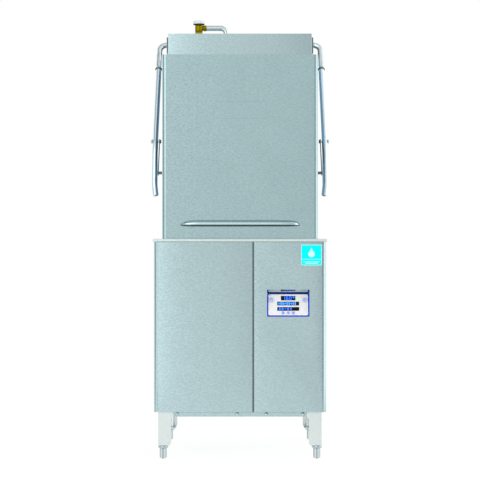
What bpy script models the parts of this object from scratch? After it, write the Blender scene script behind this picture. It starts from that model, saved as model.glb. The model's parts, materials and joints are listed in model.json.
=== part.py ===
"""Door-type commercial dishwasher, as an assembly of separate pieces.

Metres, +Z up, the machine's front faces -Y and +X is on the right of someone who faces it.
The origin is on the floor, under the middle of the machine.

Most pieces are laid out by their depth, d: the distance behind the front plane of the base cabinet.
depth_to_y() turns a depth into a world Y.
"""

import math

import bmesh
import bpy
from mathutils import Vector

# ---------------------------------------------------------------- driving dimensions

OVERALL_DEPTH = 0.684          # front edge of the rim to the back of the springs
RIM_OVERHANG = 0.002           # the rim stands this far in front of the cabinet
GAP = 0.0003                   # air between pieces that touch
SHEET = 0.0015                 # stainless sheet of panels, doors and hood
HEAVY_SHEET = 0.003            # legs and brackets

# Base cabinet
CABINET_HALF_WIDTH = 0.338
CABINET_DEPTH = 0.620
CABINET_BOTTOM = 0.185
CORNER_RADIUS = 0.0135
PANEL_RETURN = 0.012           # how far the front panels' edges turn back
PANEL_HEM = 0.0016             # flat of the side panels between the round corner and the turned-in edge
SHADOW_GAP = 0.0005            # between a side panel and the front panel beside it
PANEL_SPLIT = (0.0485, 0.0553) # the gap between the two front panels
RIM_TOP = 0.8636               # 34 in, the height of a dish table
RIM_THICKNESS = 0.012
RIM_HALF_WIDTH = 0.342
RIM_BOTTOM = RIM_TOP - RIM_THICKNESS
RIM_BACK = 0.622

# Legs and feet
LEG_HALF_WIDTH = 0.321
LEG_SETBACK = 0.013
LEG_FLANGE = 0.058
LEG_BOTTOM = 0.053
LEG_FOLD = 0.062               # depth of the legs' side flanges
LEG_FOLD_RADIUS = 0.006
SOCKET_RADIUS = 0.0155
FOOT_HALF_SPACING = 0.302
FOOT_DEPTHS = {"front": 0.033, "rear": 0.593}
FOOT_STEM_RADIUS = 0.008
FOOT_STEM_TOP = 0.105

# Doors, and how far they lift
DOOR_HALF_WIDTH = 0.308
DOOR_FRONT = 0.045
DOOR_BACK = 0.598
DOOR_BOTTOM = 0.848
DOOR_TOP = 1.591
DOOR_FLANGE = 0.030
DOOR_CORNER = 0.012
HANDLE_HALF_LENGTH = 0.235
HANDLE_BOTTOM = 0.911
HANDLE_TOP = 0.938
HANDLE_REACH = 0.030
HANDLE_BEND = 0.012
PLATE_Z = 1.372                # the plain embossed plate on the front door
PLATE_HALF_SIZE = (0.1040, 0.0345)
BOSS_RADIUS = 0.012            # on the side doors, where the links' pins meet them
BOSS_END = 0.3140

# Wash chamber and hood
HOOD_HALF_WIDTH = 0.285
HOOD_FRONT = 0.075
HOOD_BACK = 0.604
HOOD_BOTTOM = 1.320
HOOD_TOP = 1.677
HOOD_CORNER = 0.006

# Tank
BASIN_HALF_WIDTH = 0.3105
BASIN_FRONT = 0.043
BASIN_BACK = 0.600
GUTTER_Z = 0.835               # floor of the gutter that the doors' lower edges hang in
TANK_HALF_WIDTH = 0.262
TANK_FRONT = 0.093
TANK_WALL = 0.002
SUMP_FRONT = 0.200
SUMP_FLOOR = 0.500
HOPPER_TOP = 0.740
HOPPER_BOTTOM = 0.660
DRAIN_X = 0.180
DRAIN_DEPTH = 0.300
STRAINER_Z = (0.7400, 0.7420)
RAIL_TOP = 0.8850
RAIL_HALF_LENGTH = 0.300
BASKET_X = (-0.203, -0.057)
BASKET_DEPTH = (0.2150, 0.3280)
HEATER_Z = 0.535

# Wash arms turn about one vertical axis in the middle of the chamber
ARM_AXIS_DEPTH = 0.340
WASH_ARM_REACH = 0.232
HUB_RADIUS = 0.020
SPINDLE_RADIUS = 0.012
WASH_ARM_HALF_WIDTH = 0.0200
RINSE_ARM_HALF_WIDTH = 0.0100
DUCT_DEPTH = (0.5840, 0.5965)
DUCT_Z = (0.790, 1.405)

# Lift linkage, in the plane of depth and height
PIVOT_DEPTH = 0.625
PIVOT_Z = 1.701
TUBE_RADIUS = 0.012
LIFT_ARM_X = 0.3515            # below the bolts; the arms splay out to here
ARM_TOP_X = 0.3465             # at the cross tube
ARM_TIP_X = 0.3465             # the lower ends curl in again
ARM_CURL = 0.78                # share of the lower stretch above that curl
BRACKET_X = (0.312, 0.316)
BRACKET_Z = (1.665, 1.733)
BRACKET_FOOT_X = 0.215
BRACKET_BACK = 0.645
CROSS_BEND = 0.030
ARM_BEND = 0.160
BELOW_BOLT = 0.030             # straight stretch of an arm below its bolt
BOLT_DEPTH = 0.353
BOLT_Z = 1.267
BOLT_RADIUS = 0.005
BOLT_ENDS = (0.3262, 0.3702)   # the nut's end and the head's end
ARM_END_DEPTH = 0.298
ARM_END_Z = 1.040
LINK_X = (0.3315, 0.3345)
LINK_PIN_X = (0.3145, 0.3355)
LINK_HALF_WIDTH = 0.0110
LINK_FOOT_DEPTH = 0.240
LINK_FOOT_Z = 1.132
SLEEVE_START = 0.0543          # along the arm, from the pivot

# Counterbalance springs behind the chamber
YOKE_REACH = 0.050
YOKE_ANGLE = math.radians(29.0)
YOKE_ROD_RADIUS = 0.006
YOKE_HALF_WIDTH = 0.090
YOKE_LEVER = 0.006             # thickness of each lever
SHELF_HALF_WIDTH = 0.095
SHELF_THICKNESS = 0.004
SPRING_X = 0.060
SPRING_RADIUS = 0.0133
SPRING_BOTTOM = 1.220
SPRING_HOOK_RADIUS = 0.0050

# Pump, under the tank
PUMP_X = -0.020
PUMP_DEPTH = 0.450
PUMP_Z = 0.360
PUMP_RADIUS = 0.075
DISCHARGE_RADIUS = 0.020
DISCHARGE_TOP = 0.4500         # where the pump's outlet meets the manifold's feed pipe

# Rinse plumbing
RISER_X = -0.176
RISER_DEPTH = 0.652
RISER_RADIUS = 0.008
RISER_BOTTOM = 0.400           # where the pipe comes out through the rear panel
RISER_START = 0.585            # depth of the pipe's first end, inside the cabinet
RISER_TOP = 1.728
RISER_BEND = 0.0165
BREAKER_DEPTH = 0.560
BREAKER_Z = 1.7455             # underside of the vacuum breaker's body
RINSE_PIPE_X = -0.0587
RINSE_PIPE_Z = 1.7655
RINSE_PIPE_RADIUS = 0.0115
RINSE_PIPE_BEND = 0.024
BREAKER_OUTLET = 0.0330        # reach of the brass outlet from the body's axis
BOOSTER_X = -0.220
BOOSTER_DEPTH = 0.500

# Display, in a recess of the right front panel
DISPLAY_X = 0.189
DISPLAY_HALF_WIDTH = 0.083
DISPLAY_FOOT = (0.0030, 0.5595)    # depth and height of the face's lower edge
DISPLAY_HEAD = (0.0257, 0.6500)    # depth and height of the face's upper edge
DISPLAY_THICKNESS = 0.008
RECESS_TOP = 0.666
BUTTON_TRAVEL = 0.002
BUTTON_PROUD = 0.0015
BUTTON_ROOT = 0.0030           # how far a button reaches behind the face
KEY_X = 0.0655                 # the two square keys, from the display's middle
KEY_SIZE = (0.022, 0.020)
KEY_DROP = 0.027               # below the face's upper edge
ROUND_KEY_SIZE = 0.013
ROUND_KEY_PITCH = 0.0200
ROUND_KEY_RISE = 0.0145        # above the face's lower edge
BOX_X = (0.097, 0.281)         # the housing behind the display
BOX_BACK = 0.085
BOX_Z = (0.545, 0.800)
RECESS_GAP = 0.0006

ROUND = 24                     # sides of a turned piece

# ---------------------------------------------------------------- materials


def make_material(name, colour, roughness, metallic):
    material = bpy.data.materials.new(name)
    material.use_nodes = True
    shader = material.node_tree.nodes["Principled BSDF"]
    shader.inputs["Base Color"].default_value = (*colour, 1.0)
    shader.inputs["Roughness"].default_value = roughness
    shader.inputs["Metallic"].default_value = metallic
    material.diffuse_color = (*colour, 1.0)
    return material


def make_materials():
    return {
        "steel": make_material("steel", (0.45, 0.57, 0.59), 0.38, 0.9),
        "pale_steel": make_material("pale_steel", (0.74, 0.80, 0.78), 0.35, 0.8),
        "tank_steel": make_material("tank_steel", (0.50, 0.55, 0.57), 0.30, 1.0),
        "chrome": make_material("chrome", (0.62, 0.66, 0.68), 0.12, 1.0),
        "brass": make_material("brass", (0.42, 0.32, 0.02), 0.30, 1.0),
        "cast_iron": make_material("cast_iron", (0.10, 0.11, 0.12), 0.60, 0.5),
        "white_plastic": make_material("white_plastic", (0.80, 0.82, 0.84), 0.40, 0.0),
        "grey_plastic": make_material("grey_plastic", (0.45, 0.48, 0.50), 0.50, 0.0),
    }


# ---------------------------------------------------------------- points and outlines


def depth_to_y(depth):
    """World Y of a depth behind the cabinet's front plane."""
    return depth - OVERALL_DEPTH / 2.0 + RIM_OVERHANG


def arc(centre, radius, start, end, steps):
    """Points on an arc, angles in degrees, both ends included."""
    points = []
    for index in range(steps + 1):
        angle = math.radians(start + (end - start) * index / steps)
        points.append((centre[0] + radius * math.cos(angle), centre[1] + radius * math.sin(angle)))
    return points


def strip_outline(path, thickness):
    """Outline of a sheet of constant thickness that follows a path, on the path's left side."""
    offset_points = []
    for index, point in enumerate(path):
        here = Vector(point)
        normals = []
        if index > 0:
            step = (here - Vector(path[index - 1])).normalized()
            normals.append(Vector((-step.y, step.x)))
        if index < len(path) - 1:
            step = (Vector(path[index + 1]) - here).normalized()
            normals.append(Vector((-step.y, step.x)))
        middle = sum(normals, Vector((0.0, 0.0))).normalized()
        offset = here + middle * (thickness / middle.dot(normals[0]))
        offset_points.append((offset.x, offset.y))
    return list(path) + offset_points[::-1]


def mirrored(outline, side):
    """The same outline on the left (side = -1) or on the right (side = 1)."""
    return [(side * x, y) for x, y in outline]


def capsule(start, end, start_radius, end_radius=None, steps=6):
    """Outline of a flat bar with two round ends, which may taper."""
    heading = math.degrees(math.atan2(end[1] - start[1], end[0] - start[0]))
    first = arc(end, end_radius or start_radius, heading - 90.0, heading + 90.0, steps)
    second = arc(start, start_radius, heading + 90.0, heading + 270.0, steps)
    return first + second


def rounded_box(x, y, half_width, half_height, corner):
    """Outline of a box with round corners."""
    outline = []
    for start, sign_x, sign_y in ((0.0, 1, 1), (90.0, -1, 1), (180.0, -1, -1), (270.0, 1, -1)):
        centre = (x + sign_x * (half_width - corner), y + sign_y * (half_height - corner))
        outline += arc(centre, corner, start, start + 90.0, 5)
    return outline


def rounded_route(points, radius, steps=6):
    """Points along straight runs joined by bends of one radius, in three dimensions."""
    route = [Vector(points[0])]
    for before, corner, after in zip(points, points[1:], points[2:]):
        corner = Vector(corner)
        to_before = (Vector(before) - corner).normalized()
        to_after = (Vector(after) - corner).normalized()
        half_angle = to_before.angle(to_after) / 2.0
        centre = corner + (to_before + to_after).normalized() * (radius / math.sin(half_angle))
        start = corner + to_before * (radius / math.tan(half_angle)) - centre
        end = corner + to_after * (radius / math.tan(half_angle)) - centre
        sweep = start.angle(end)
        for index in range(steps + 1):
            turn = sweep * index / steps
            route.append(centre + (start * math.sin(sweep - turn) + end * math.sin(turn)) / math.sin(sweep))
    route.append(Vector(points[-1]))
    return route


# ---------------------------------------------------------------- making solids


def place(name, mesh, location, material):
    piece = bpy.data.objects.new(name, mesh)
    bpy.context.scene.collection.objects.link(piece)
    piece.location = location
    if material is not None:
        mesh.materials.append(material)
    return piece


def finish_mesh(name, bm):
    bmesh.ops.recalc_face_normals(bm, faces=bm.faces)
    mesh = bpy.data.meshes.new(name)
    bm.to_mesh(mesh)
    bm.free()
    return mesh


def block(name, x, depth, z, material=None):
    """A box between two values of x, of depth and of height, with its origin at its middle."""
    size = Vector((x[1] - x[0], depth[1] - depth[0], z[1] - z[0]))
    bm = bmesh.new()
    bmesh.ops.create_cube(bm, size=1.0)
    bmesh.ops.scale(bm, vec=size, verts=bm.verts)
    middle = (sum(x) / 2.0, depth_to_y(sum(depth) / 2.0), sum(z) / 2.0)
    return place(name, finish_mesh(name, bm), middle, material)


def prism(name, outline, axis, span, material=None):
    """An outline pushed along an axis.

    The outline is in (depth, z) for axis X, in (x, z) for axis Y and in (x, depth) for axis Z.
    """
    def to_world(point, along):
        if axis == "X":
            return (along, depth_to_y(point[0]), point[1])
        if axis == "Y":
            return (point[0], depth_to_y(along), point[1])
        return (point[0], depth_to_y(point[1]), along)

    start_points = [Vector(to_world(point, span[0])) for point in outline]
    push = Vector(to_world(outline[0], span[1])) - start_points[0]
    origin = sum(start_points, Vector()) / len(start_points) + push / 2.0
    bm = bmesh.new()
    verts = [bm.verts.new(point - origin) for point in start_points]
    face = bm.faces.new(verts)
    result = bmesh.ops.extrude_face_region(bm, geom=[face])
    moved = [item for item in result["geom"] if isinstance(item, bmesh.types.BMVert)]
    bmesh.ops.translate(bm, vec=push, verts=moved)
    return place(name, finish_mesh(name, bm), origin, material)


def turned(name, profile, centre, axis, material=None, sides=ROUND):
    """A profile of (radius, distance along the axis) turned about an axis through a centre.

    The centre is (x, depth, z). A profile that starts and ends off the axis is closed into a ring.
    """
    bm = bmesh.new()
    verts = [bm.verts.new((radius, 0.0, along)) for radius, along in profile]
    edges = [bm.edges.new(pair) for pair in zip(verts, verts[1:])]
    if profile[0][0] > 0.0 and profile[-1][0] > 0.0:
        edges.append(bm.edges.new((verts[-1], verts[0])))
    bmesh.ops.spin(bm, geom=verts + edges, axis=(0.0, 0.0, 1.0), cent=(0.0, 0.0, 0.0),
                   angle=math.tau, steps=sides, use_merge=True)
    bmesh.ops.remove_doubles(bm, verts=bm.verts, dist=0.000001)
    mesh = finish_mesh(name, bm)
    mesh.shade_smooth()
    mesh.set_sharp_from_angle(angle=math.radians(35.0))
    piece = place(name, mesh, (centre[0], depth_to_y(centre[1]), centre[2]), material)
    if axis == "X":
        piece.rotation_euler = (0.0, math.radians(90.0), 0.0)
    if axis == "Y":
        piece.rotation_euler = (math.radians(-90.0), 0.0, 0.0)
    return piece


def rod(name, centre, axis, radius, span, material=None, sides=ROUND):
    """A plain cylinder between two distances along an axis through a centre."""
    profile = [(0.0, span[0]), (radius, span[0]), (radius, span[1]), (0.0, span[1])]
    return turned(name, profile, centre, axis, material, sides)


def tube(name, route, radius, material=None, resolution=3):
    """A round bar along a route of points (x, depth, z)."""
    curve = bpy.data.curves.new(name, "CURVE")
    curve.dimensions = "3D"
    curve.bevel_depth = radius
    curve.bevel_resolution = resolution
    curve.use_fill_caps = True
    origin = Vector((route[0][0], depth_to_y(route[0][1]), route[0][2]))
    spline = curve.splines.new("POLY")
    spline.points.add(len(route) - 1)
    for target, point in zip(spline.points, route):
        world = Vector((point[0], depth_to_y(point[1]), point[2])) - origin
        target.co = (*world, 1.0)
    piece = bpy.data.objects.new(name, curve)
    bpy.context.scene.collection.objects.link(piece)
    piece.location = origin
    if material is not None:
        curve.materials.append(material)
    return piece


def solid_tube(name, route, radius, material=None, resolution=3):
    """The same round bar as a mesh, which Booleans can cut."""
    guide = tube(name + "_route", route, radius, None, resolution)
    location = guide.location.copy()
    swept = bpy.data.meshes.new_from_object(guide)
    bpy.data.objects.remove(guide)
    bm = bmesh.new()
    bm.from_mesh(swept)
    bmesh.ops.remove_doubles(bm, verts=bm.verts, dist=0.000001)
    mesh = finish_mesh(name, bm)
    mesh.shade_smooth()
    mesh.set_sharp_from_angle(angle=math.radians(35.0))
    return place(name, mesh, location, material)


def loft(name, sections, material=None):
    """A skin over sections of equal length, in world coordinates, with both ends closed."""
    origin = sum((Vector(point) for point in sections[0]), Vector()) / len(sections[0])
    bm = bmesh.new()
    rings = [[bm.verts.new(Vector(point) - origin) for point in section] for section in sections]
    for ring, following in zip(rings, rings[1:]):
        for index in range(len(ring)):
            nearest = (index + 1) % len(ring)
            bm.faces.new((ring[index], ring[nearest], following[nearest], following[index]))
    bm.faces.new(rings[0])
    bm.faces.new(rings[-1])
    return place(name, finish_mesh(name, bm), origin, material)


def combine(target, tool, operation):
    """Add or remove a tool's shape with a Boolean; the tool itself is only a guide."""
    modifier = target.modifiers.new(tool.name, "BOOLEAN")
    modifier.operation = operation
    modifier.object = tool
    tool.hide_render = True
    tool.display_type = "WIRE"


def cut(target, *tools):
    for tool in tools:
        combine(target, tool, "DIFFERENCE")


def weld(target, *tools):
    for tool in tools:
        combine(target, tool, "UNION")


def soften(piece, width, segments=2):
    bevel = piece.modifiers.new("soft_edges", "BEVEL")
    bevel.width = width
    bevel.segments = segments
    bevel.limit_method = "ANGLE"
    bevel.angle_limit = math.radians(40.0)


def make_axis(name, x, depth, z):
    """An empty on a joint's axis."""
    empty = bpy.data.objects.new(name, None)
    bpy.context.scene.collection.objects.link(empty)
    empty.location = (x, depth_to_y(depth), z)
    return empty


def hang_on(empty, *pieces):
    """Parent pieces to an axis without moving them."""
    for piece in pieces:
        piece.parent = empty
        piece.location = Vector(piece.location) - Vector(empty.location)


# ---------------------------------------------------------------- base cabinet


def make_base_frame(materials):
    plate = block("base_frame", (-0.318, 0.318), (0.013, 0.6165), (0.1850, 0.1870), materials["steel"])
    for name, depth in (("front", (0.0165, 0.0185)), ("rear", (0.6065, 0.6085))):
        skirt = block("base_skirt_" + name, (-0.2625, 0.2605), depth, (0.166, 0.186))
        weld(plate, skirt)
    return plate


def make_legs(materials):
    for end, foot_depth in FOOT_DEPTHS.items():
        for side_name, side in (("left", -1), ("right", 1)):
            make_leg(end, side_name, side, foot_depth, materials)


def make_leg(end, side_name, side, foot_depth, materials):
    """A folded corner plate with the socket of the foot inside its corner."""
    label = "%s_%s" % (end, side_name)
    outward = -1 if end == "front" else 1
    face = LEG_SETBACK if end == "front" else CABINET_DEPTH - LEG_SETBACK
    path = [(LEG_HALF_WIDTH - LEG_FLANGE, face), (LEG_HALF_WIDTH - LEG_FOLD_RADIUS, face)]
    path += [(LEG_HALF_WIDTH, face - outward * LEG_FOLD_RADIUS), (LEG_HALF_WIDTH, face - outward * LEG_FOLD)]
    thickness = HEAVY_SHEET if end == "front" else -HEAVY_SHEET
    outline = mirrored(strip_outline(path, thickness), side)
    leg = prism("leg_" + label, outline, "Z", (LEG_BOTTOM, CABINET_BOTTOM - GAP), materials["pale_steel"])
    foot_x = side * FOOT_HALF_SPACING
    socket_bottom = block("socket_plate_" + label,
                          tuple(sorted((side * 0.265, side * (LEG_HALF_WIDTH - 0.001)))),
                          tuple(sorted((face - outward * 0.001, face - outward * 0.060))),
                          (LEG_BOTTOM, LEG_BOTTOM + 0.004))
    socket = rod("socket_" + label, (foot_x, foot_depth, 0.0), "Z", SOCKET_RADIUS,
                 (LEG_BOTTOM, FOOT_STEM_TOP + 0.010))
    bore = rod("socket_bore_" + label, (foot_x, foot_depth, 0.0), "Z",
               FOOT_STEM_RADIUS + 0.0005, (LEG_BOTTOM - 0.01, FOOT_STEM_TOP + 0.035))
    weld(leg, socket_bottom, socket)
    cut(leg, bore)
    make_foot(label, foot_x, foot_depth, materials)


def make_foot(label, x, depth, materials):
    """Adjustable bullet foot: a threaded stem, a conical flange and a rounded end on the floor."""
    profile = [(0.0, 0.0), (0.0070, 0.0), (0.0115, 0.0020), (0.0137, 0.0070), (0.0137, 0.0400)]
    profile += [(0.0200, 0.0440), (0.0200, 0.0515), (FOOT_STEM_RADIUS, LEG_BOTTOM - GAP)]
    profile += [(FOOT_STEM_RADIUS, FOOT_STEM_TOP - 0.001), (FOOT_STEM_RADIUS - 0.001, FOOT_STEM_TOP)]
    profile += [(0.0, FOOT_STEM_TOP)]
    axis = make_axis("axis_foot_" + label, x, depth, 0.0)
    foot = turned("foot_" + label, profile, (x, depth, 0.0), "Z", materials["pale_steel"])
    hang_on(axis, foot)


def make_side_panel(name, side, materials):
    """Side panel that rounds the front corner and turns in behind the front panel."""
    corner = (CABINET_HALF_WIDTH - CORNER_RADIUS, CORNER_RADIUS)
    path = [(corner[0], CABINET_DEPTH), (CABINET_HALF_WIDTH, CABINET_DEPTH)]
    path += [(CABINET_HALF_WIDTH, CORNER_RADIUS)] + arc(corner, CORNER_RADIUS, 0.0, -90.0, 6)[1:]
    path += [(corner[0] - PANEL_HEM, 0.0), (corner[0] - PANEL_HEM, PANEL_RETURN)]
    outline = mirrored(strip_outline(path, -SHEET), side)
    return prism(name, outline, "Z", (CABINET_BOTTOM, RIM_BOTTOM - GAP), materials["steel"])


def make_rear_panel(materials):
    half = CABINET_HALF_WIDTH - CORNER_RADIUS - 0.001
    panel = block("rear_panel", (-half, half), (CABINET_DEPTH - 0.0028, CABINET_DEPTH),
                  (CABINET_BOTTOM + 0.0005, RIM_BOTTOM - GAP), materials["steel"])
    pipe_hole = rod("rear_panel_pipe_hole", (RISER_X, CABINET_DEPTH, RISER_BOTTOM), "Y",
                    RISER_RADIUS + 0.002, (-0.02, 0.02))
    cut(panel, pipe_hole)
    return panel


def make_front_panel(name, x, materials):
    """A pan: a front skin with its four edges turned back."""
    z = (CABINET_BOTTOM, RIM_BOTTOM - GAP)
    panel = block(name, x, (0.0, PANEL_RETURN), z, materials["steel"])
    soften(panel, 0.0012, 2)
    hollow = block(name + "_hollow", (x[0] + SHEET, x[1] - SHEET), (SHEET, PANEL_RETURN + 0.02),
                   (z[0] + SHEET, z[1] - SHEET))
    cut(panel, hollow)
    return panel


def make_cabinet(materials):
    make_base_frame(materials)
    make_legs(materials)
    make_side_panel("left_side_panel", -1, materials)
    make_side_panel("right_side_panel", 1, materials)
    make_rear_panel(materials)
    edge = CABINET_HALF_WIDTH - CORNER_RADIUS - PANEL_HEM - SHADOW_GAP
    make_front_panel("front_panel_left", (-edge, PANEL_SPLIT[0]), materials)
    right = make_front_panel("front_panel_right", (PANEL_SPLIT[1], edge), materials)
    window = block("display_window", (DISPLAY_X - DISPLAY_HALF_WIDTH, DISPLAY_X + DISPLAY_HALF_WIDTH),
                   (-0.02, 0.02), (DISPLAY_FOOT[1] - 0.0008, RECESS_TOP))
    cut(right, window)


# ---------------------------------------------------------------- display and buttons


def make_control_box(materials):
    """Housing behind the right front panel, with the tilted recess that holds the display."""
    box = block("control_box", BOX_X, (SHEET + GAP, BOX_BACK), BOX_Z, materials["grey_plastic"])
    tilt = math.atan2(DISPLAY_HEAD[0] - DISPLAY_FOOT[0], DISPLAY_HEAD[1] - DISPLAY_FOOT[1])
    back = DISPLAY_THICKNESS + GAP
    step = (back * math.cos(tilt), -back * math.sin(tilt))
    foot_z = DISPLAY_FOOT[1] - RECESS_GAP
    head_z = DISPLAY_HEAD[1] + RECESS_GAP
    outline = [(-0.010, foot_z), (DISPLAY_FOOT[0], foot_z), (DISPLAY_FOOT[0] + step[0], foot_z + step[1])]
    outline += [(DISPLAY_HEAD[0] + step[0], head_z + step[1]), (DISPLAY_HEAD[0], head_z)]
    outline += [(0.0, RECESS_TOP), (-0.010, RECESS_TOP)]
    half = DISPLAY_HALF_WIDTH + GAP
    recess = prism("display_recess", outline, "X", (DISPLAY_X - half, DISPLAY_X + half))
    cut(box, recess)


def make_display(materials):
    """The display's plate and its five push buttons, laid out on the tilted face."""
    rise = DISPLAY_HEAD[1] - DISPLAY_FOOT[1]
    run = DISPLAY_HEAD[0] - DISPLAY_FOOT[0]
    height = math.hypot(rise, run)
    face = make_axis("display_face", DISPLAY_X, *DISPLAY_FOOT)
    face.rotation_euler = (-math.atan2(run, rise), 0.0, 0.0)
    y0 = depth_to_y(0.0)
    plate = block("display_panel", (-DISPLAY_HALF_WIDTH + GAP, DISPLAY_HALF_WIDTH - GAP),
                  (-y0, DISPLAY_THICKNESS - y0), (0.0, height), materials["white_plastic"])
    plate.parent = face
    for name, x, z, width, tall, corner in display_buttons(height):
        outline = rounded_box(x, z, width / 2.0, tall / 2.0, corner)
        hole = rounded_box(x, z, width / 2.0 + GAP, tall / 2.0 + GAP, corner + GAP)
        pocket = prism(name + "_pocket", hole, "Y", (-y0 - 0.010, BUTTON_ROOT + BUTTON_TRAVEL + GAP - y0))
        pocket.parent = face
        cut(plate, pocket)
        cap = prism(name, outline, "Y", (-y0 - BUTTON_PROUD, BUTTON_ROOT - y0), materials["white_plastic"])
        cap.parent = face
        soften(cap, 0.0006, 2)


def display_buttons(height):
    """Name, place on the face, width, height and corner radius of each button."""
    buttons = [(name, side * KEY_X, height - KEY_DROP, *KEY_SIZE, 0.003)
               for name, side in (("power_button", -1), ("start_button", 1))]
    for index, name in enumerate(("menu_button", "up_button", "down_button")):
        buttons.append((name, (index - 1) * ROUND_KEY_PITCH, ROUND_KEY_RISE, ROUND_KEY_SIZE, ROUND_KEY_SIZE,
                        ROUND_KEY_SIZE / 2.0 - 0.0001))
    return buttons


# ---------------------------------------------------------------- tank and what is in it


def tank_outline(offset):
    """Outline of the tank in depth and height, with a sloping hopper in front; offset 0 is the inside."""
    back = BASIN_BACK + offset
    front = TANK_FRONT - offset
    sump = SUMP_FRONT - offset
    floor = SUMP_FLOOR - offset
    top = GUTTER_Z + 0.004 if offset == 0.0 else GUTTER_Z
    return [(front, top), (front, HOPPER_TOP - offset), (sump, HOPPER_BOTTOM - offset), (sump, floor),
            (back, floor), (back, top)]


def make_tank(materials):
    """Welded tank: the rim, the gutter under the doors and the sump are one piece."""
    tank = block("wash_tank", (-RIM_HALF_WIDTH, RIM_HALF_WIDTH), (-RIM_OVERHANG, RIM_BACK),
                 (RIM_BOTTOM, RIM_TOP), materials["pale_steel"])
    soften(tank, 0.0045, 3)
    wall = TANK_WALL
    gutter = block("tank_gutter", (-BASIN_HALF_WIDTH - wall, BASIN_HALF_WIDTH + wall),
                   (BASIN_FRONT - wall, BASIN_BACK + wall), (GUTTER_Z - wall, RIM_BOTTOM + 0.004))
    half = TANK_HALF_WIDTH
    sump = prism("tank_sump", tank_outline(wall), "X", (-half - wall, half + wall))
    weld(tank, gutter, sump)
    gutter_hollow = block("gutter_hollow", (-BASIN_HALF_WIDTH, BASIN_HALF_WIDTH), (BASIN_FRONT, BASIN_BACK),
                          (GUTTER_Z, RIM_TOP + 0.02))
    sump_hollow = prism("sump_hollow", tank_outline(0.0), "X", (-half, half))
    discharge_hole = rod("discharge_hole", (PUMP_X, PUMP_DEPTH, 0.0), "Z", DISCHARGE_RADIUS + 0.0006,
                         (SUMP_FLOOR - 0.03, SUMP_FLOOR + 0.03))
    drain_hole = rod("drain_hole", (DRAIN_X, DRAIN_DEPTH, 0.0), "Z", 0.0150,
                     (SUMP_FLOOR - 0.03, SUMP_FLOOR + 0.03))
    cut(tank, gutter_hollow, sump_hollow, discharge_hole, drain_hole)


def make_rack_track(materials):
    """Two rails across the machine that stand in the gutters, and four bars that carry the rack."""
    across = (-RAIL_HALF_LENGTH, RAIL_HALF_LENGTH)
    height = (GUTTER_Z + GAP, RAIL_TOP)
    track = block("rack_track", across, (0.1000, 0.1040), height, materials["tank_steel"])
    rear = block("track_rail_rear", across, (0.5750, 0.5790), height)
    bars = [block("track_bar_%d" % index, (x - 0.003, x + 0.003), (0.1020, 0.5770), (0.8640, 0.8720))
            for index, x in enumerate((-0.250, -0.090, 0.090, 0.250))]
    weld(track, *bars, rear)


def make_strainer(materials):
    """Sheet that covers the sump, with a mouth for the scrap basket and two for the pipes."""
    half = TANK_HALF_WIDTH - 0.0015
    sheet = block("strainer", (-half, half), (0.1050, 0.5820), STRAINER_Z, materials["tank_steel"])
    through = (STRAINER_Z[0] - 0.02, STRAINER_Z[1] + 0.02)
    mouth = block("strainer_mouth", (BASKET_X[0] - 0.002, BASKET_X[1] + 0.002), (0.150, 0.330), through)
    pipe_hole = rod("strainer_pipe_hole", (PUMP_X, PUMP_DEPTH, 0.0), "Z", DISCHARGE_RADIUS + 0.002, through)
    standpipe_hole = rod("strainer_standpipe_hole", (DRAIN_X, DRAIN_DEPTH, 0.0), "Z", 0.0215, through)
    cut(sheet, mouth, pipe_hole, standpipe_hole)


def make_scrap_basket(materials):
    """Open basket that hangs by its rim in the strainer's mouth and lifts out."""
    lip_bottom = STRAINER_Z[1] + GAP
    basket = block("scrap_basket", BASKET_X, BASKET_DEPTH, (0.6700, lip_bottom + 0.0002),
                   materials["tank_steel"])
    lip = block("basket_lip", (BASKET_X[0] - 0.010, BASKET_X[1] + 0.010),
                (BASKET_DEPTH[0] - 0.010, BASKET_DEPTH[1] + 0.010), (lip_bottom, lip_bottom + 0.0027))
    hollow = block("basket_hollow", (BASKET_X[0] + SHEET, BASKET_X[1] - SHEET),
                   (BASKET_DEPTH[0] + SHEET, BASKET_DEPTH[1] - SHEET), (0.6700 + SHEET, 0.7600))
    weld(basket, lip)
    cut(basket, hollow)


def make_standpipe(materials):
    """Overflow pipe that plugs the drain; lifting it empties the tank."""
    seat = SUMP_FLOOR + GAP
    profile = [(0.0100, SUMP_FLOOR - 0.010), (0.0140, SUMP_FLOOR - 0.010), (0.0140, seat), (0.0200, seat)]
    profile += [(0.0200, 0.512), (0.0190, 0.515), (0.0190, 0.745), (0.0150, 0.745), (0.0150, 0.515)]
    profile += [(0.0100, 0.512)]
    turned("overflow_standpipe", profile, (DRAIN_X, DRAIN_DEPTH, 0.0), "Z", materials["tank_steel"])


def make_heater(materials):
    """Heating element: one bent rod in the bottom of the tank."""
    corners = [(-0.060, 0.215, HEATER_Z), (-0.060, 0.560, HEATER_Z), (-0.220, 0.560, HEATER_Z),
               (-0.220, 0.215, HEATER_Z)]
    tube("tank_heater", rounded_route(corners, 0.030), 0.006, materials["tank_steel"], 2)


# ---------------------------------------------------------------- chamber, hood and doors


def make_hood(materials):
    """Fixed top of the wash chamber, open below, with rounded upright corners."""
    middle = (HOOD_FRONT + HOOD_BACK) / 2.0
    half_depth = (HOOD_BACK - HOOD_FRONT) / 2.0
    outline = rounded_box(0.0, middle, HOOD_HALF_WIDTH, half_depth, HOOD_CORNER)
    hood = prism("hood_shell", outline, "Z", (HOOD_BOTTOM, HOOD_TOP), materials["steel"])
    inside = rounded_box(0.0, middle, HOOD_HALF_WIDTH - SHEET, half_depth - SHEET, HOOD_CORNER - SHEET)
    hollow = prism("hood_hollow", inside, "Z", (HOOD_BOTTOM - 0.02, HOOD_TOP - SHEET))
    cut(hood, hollow)


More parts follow.
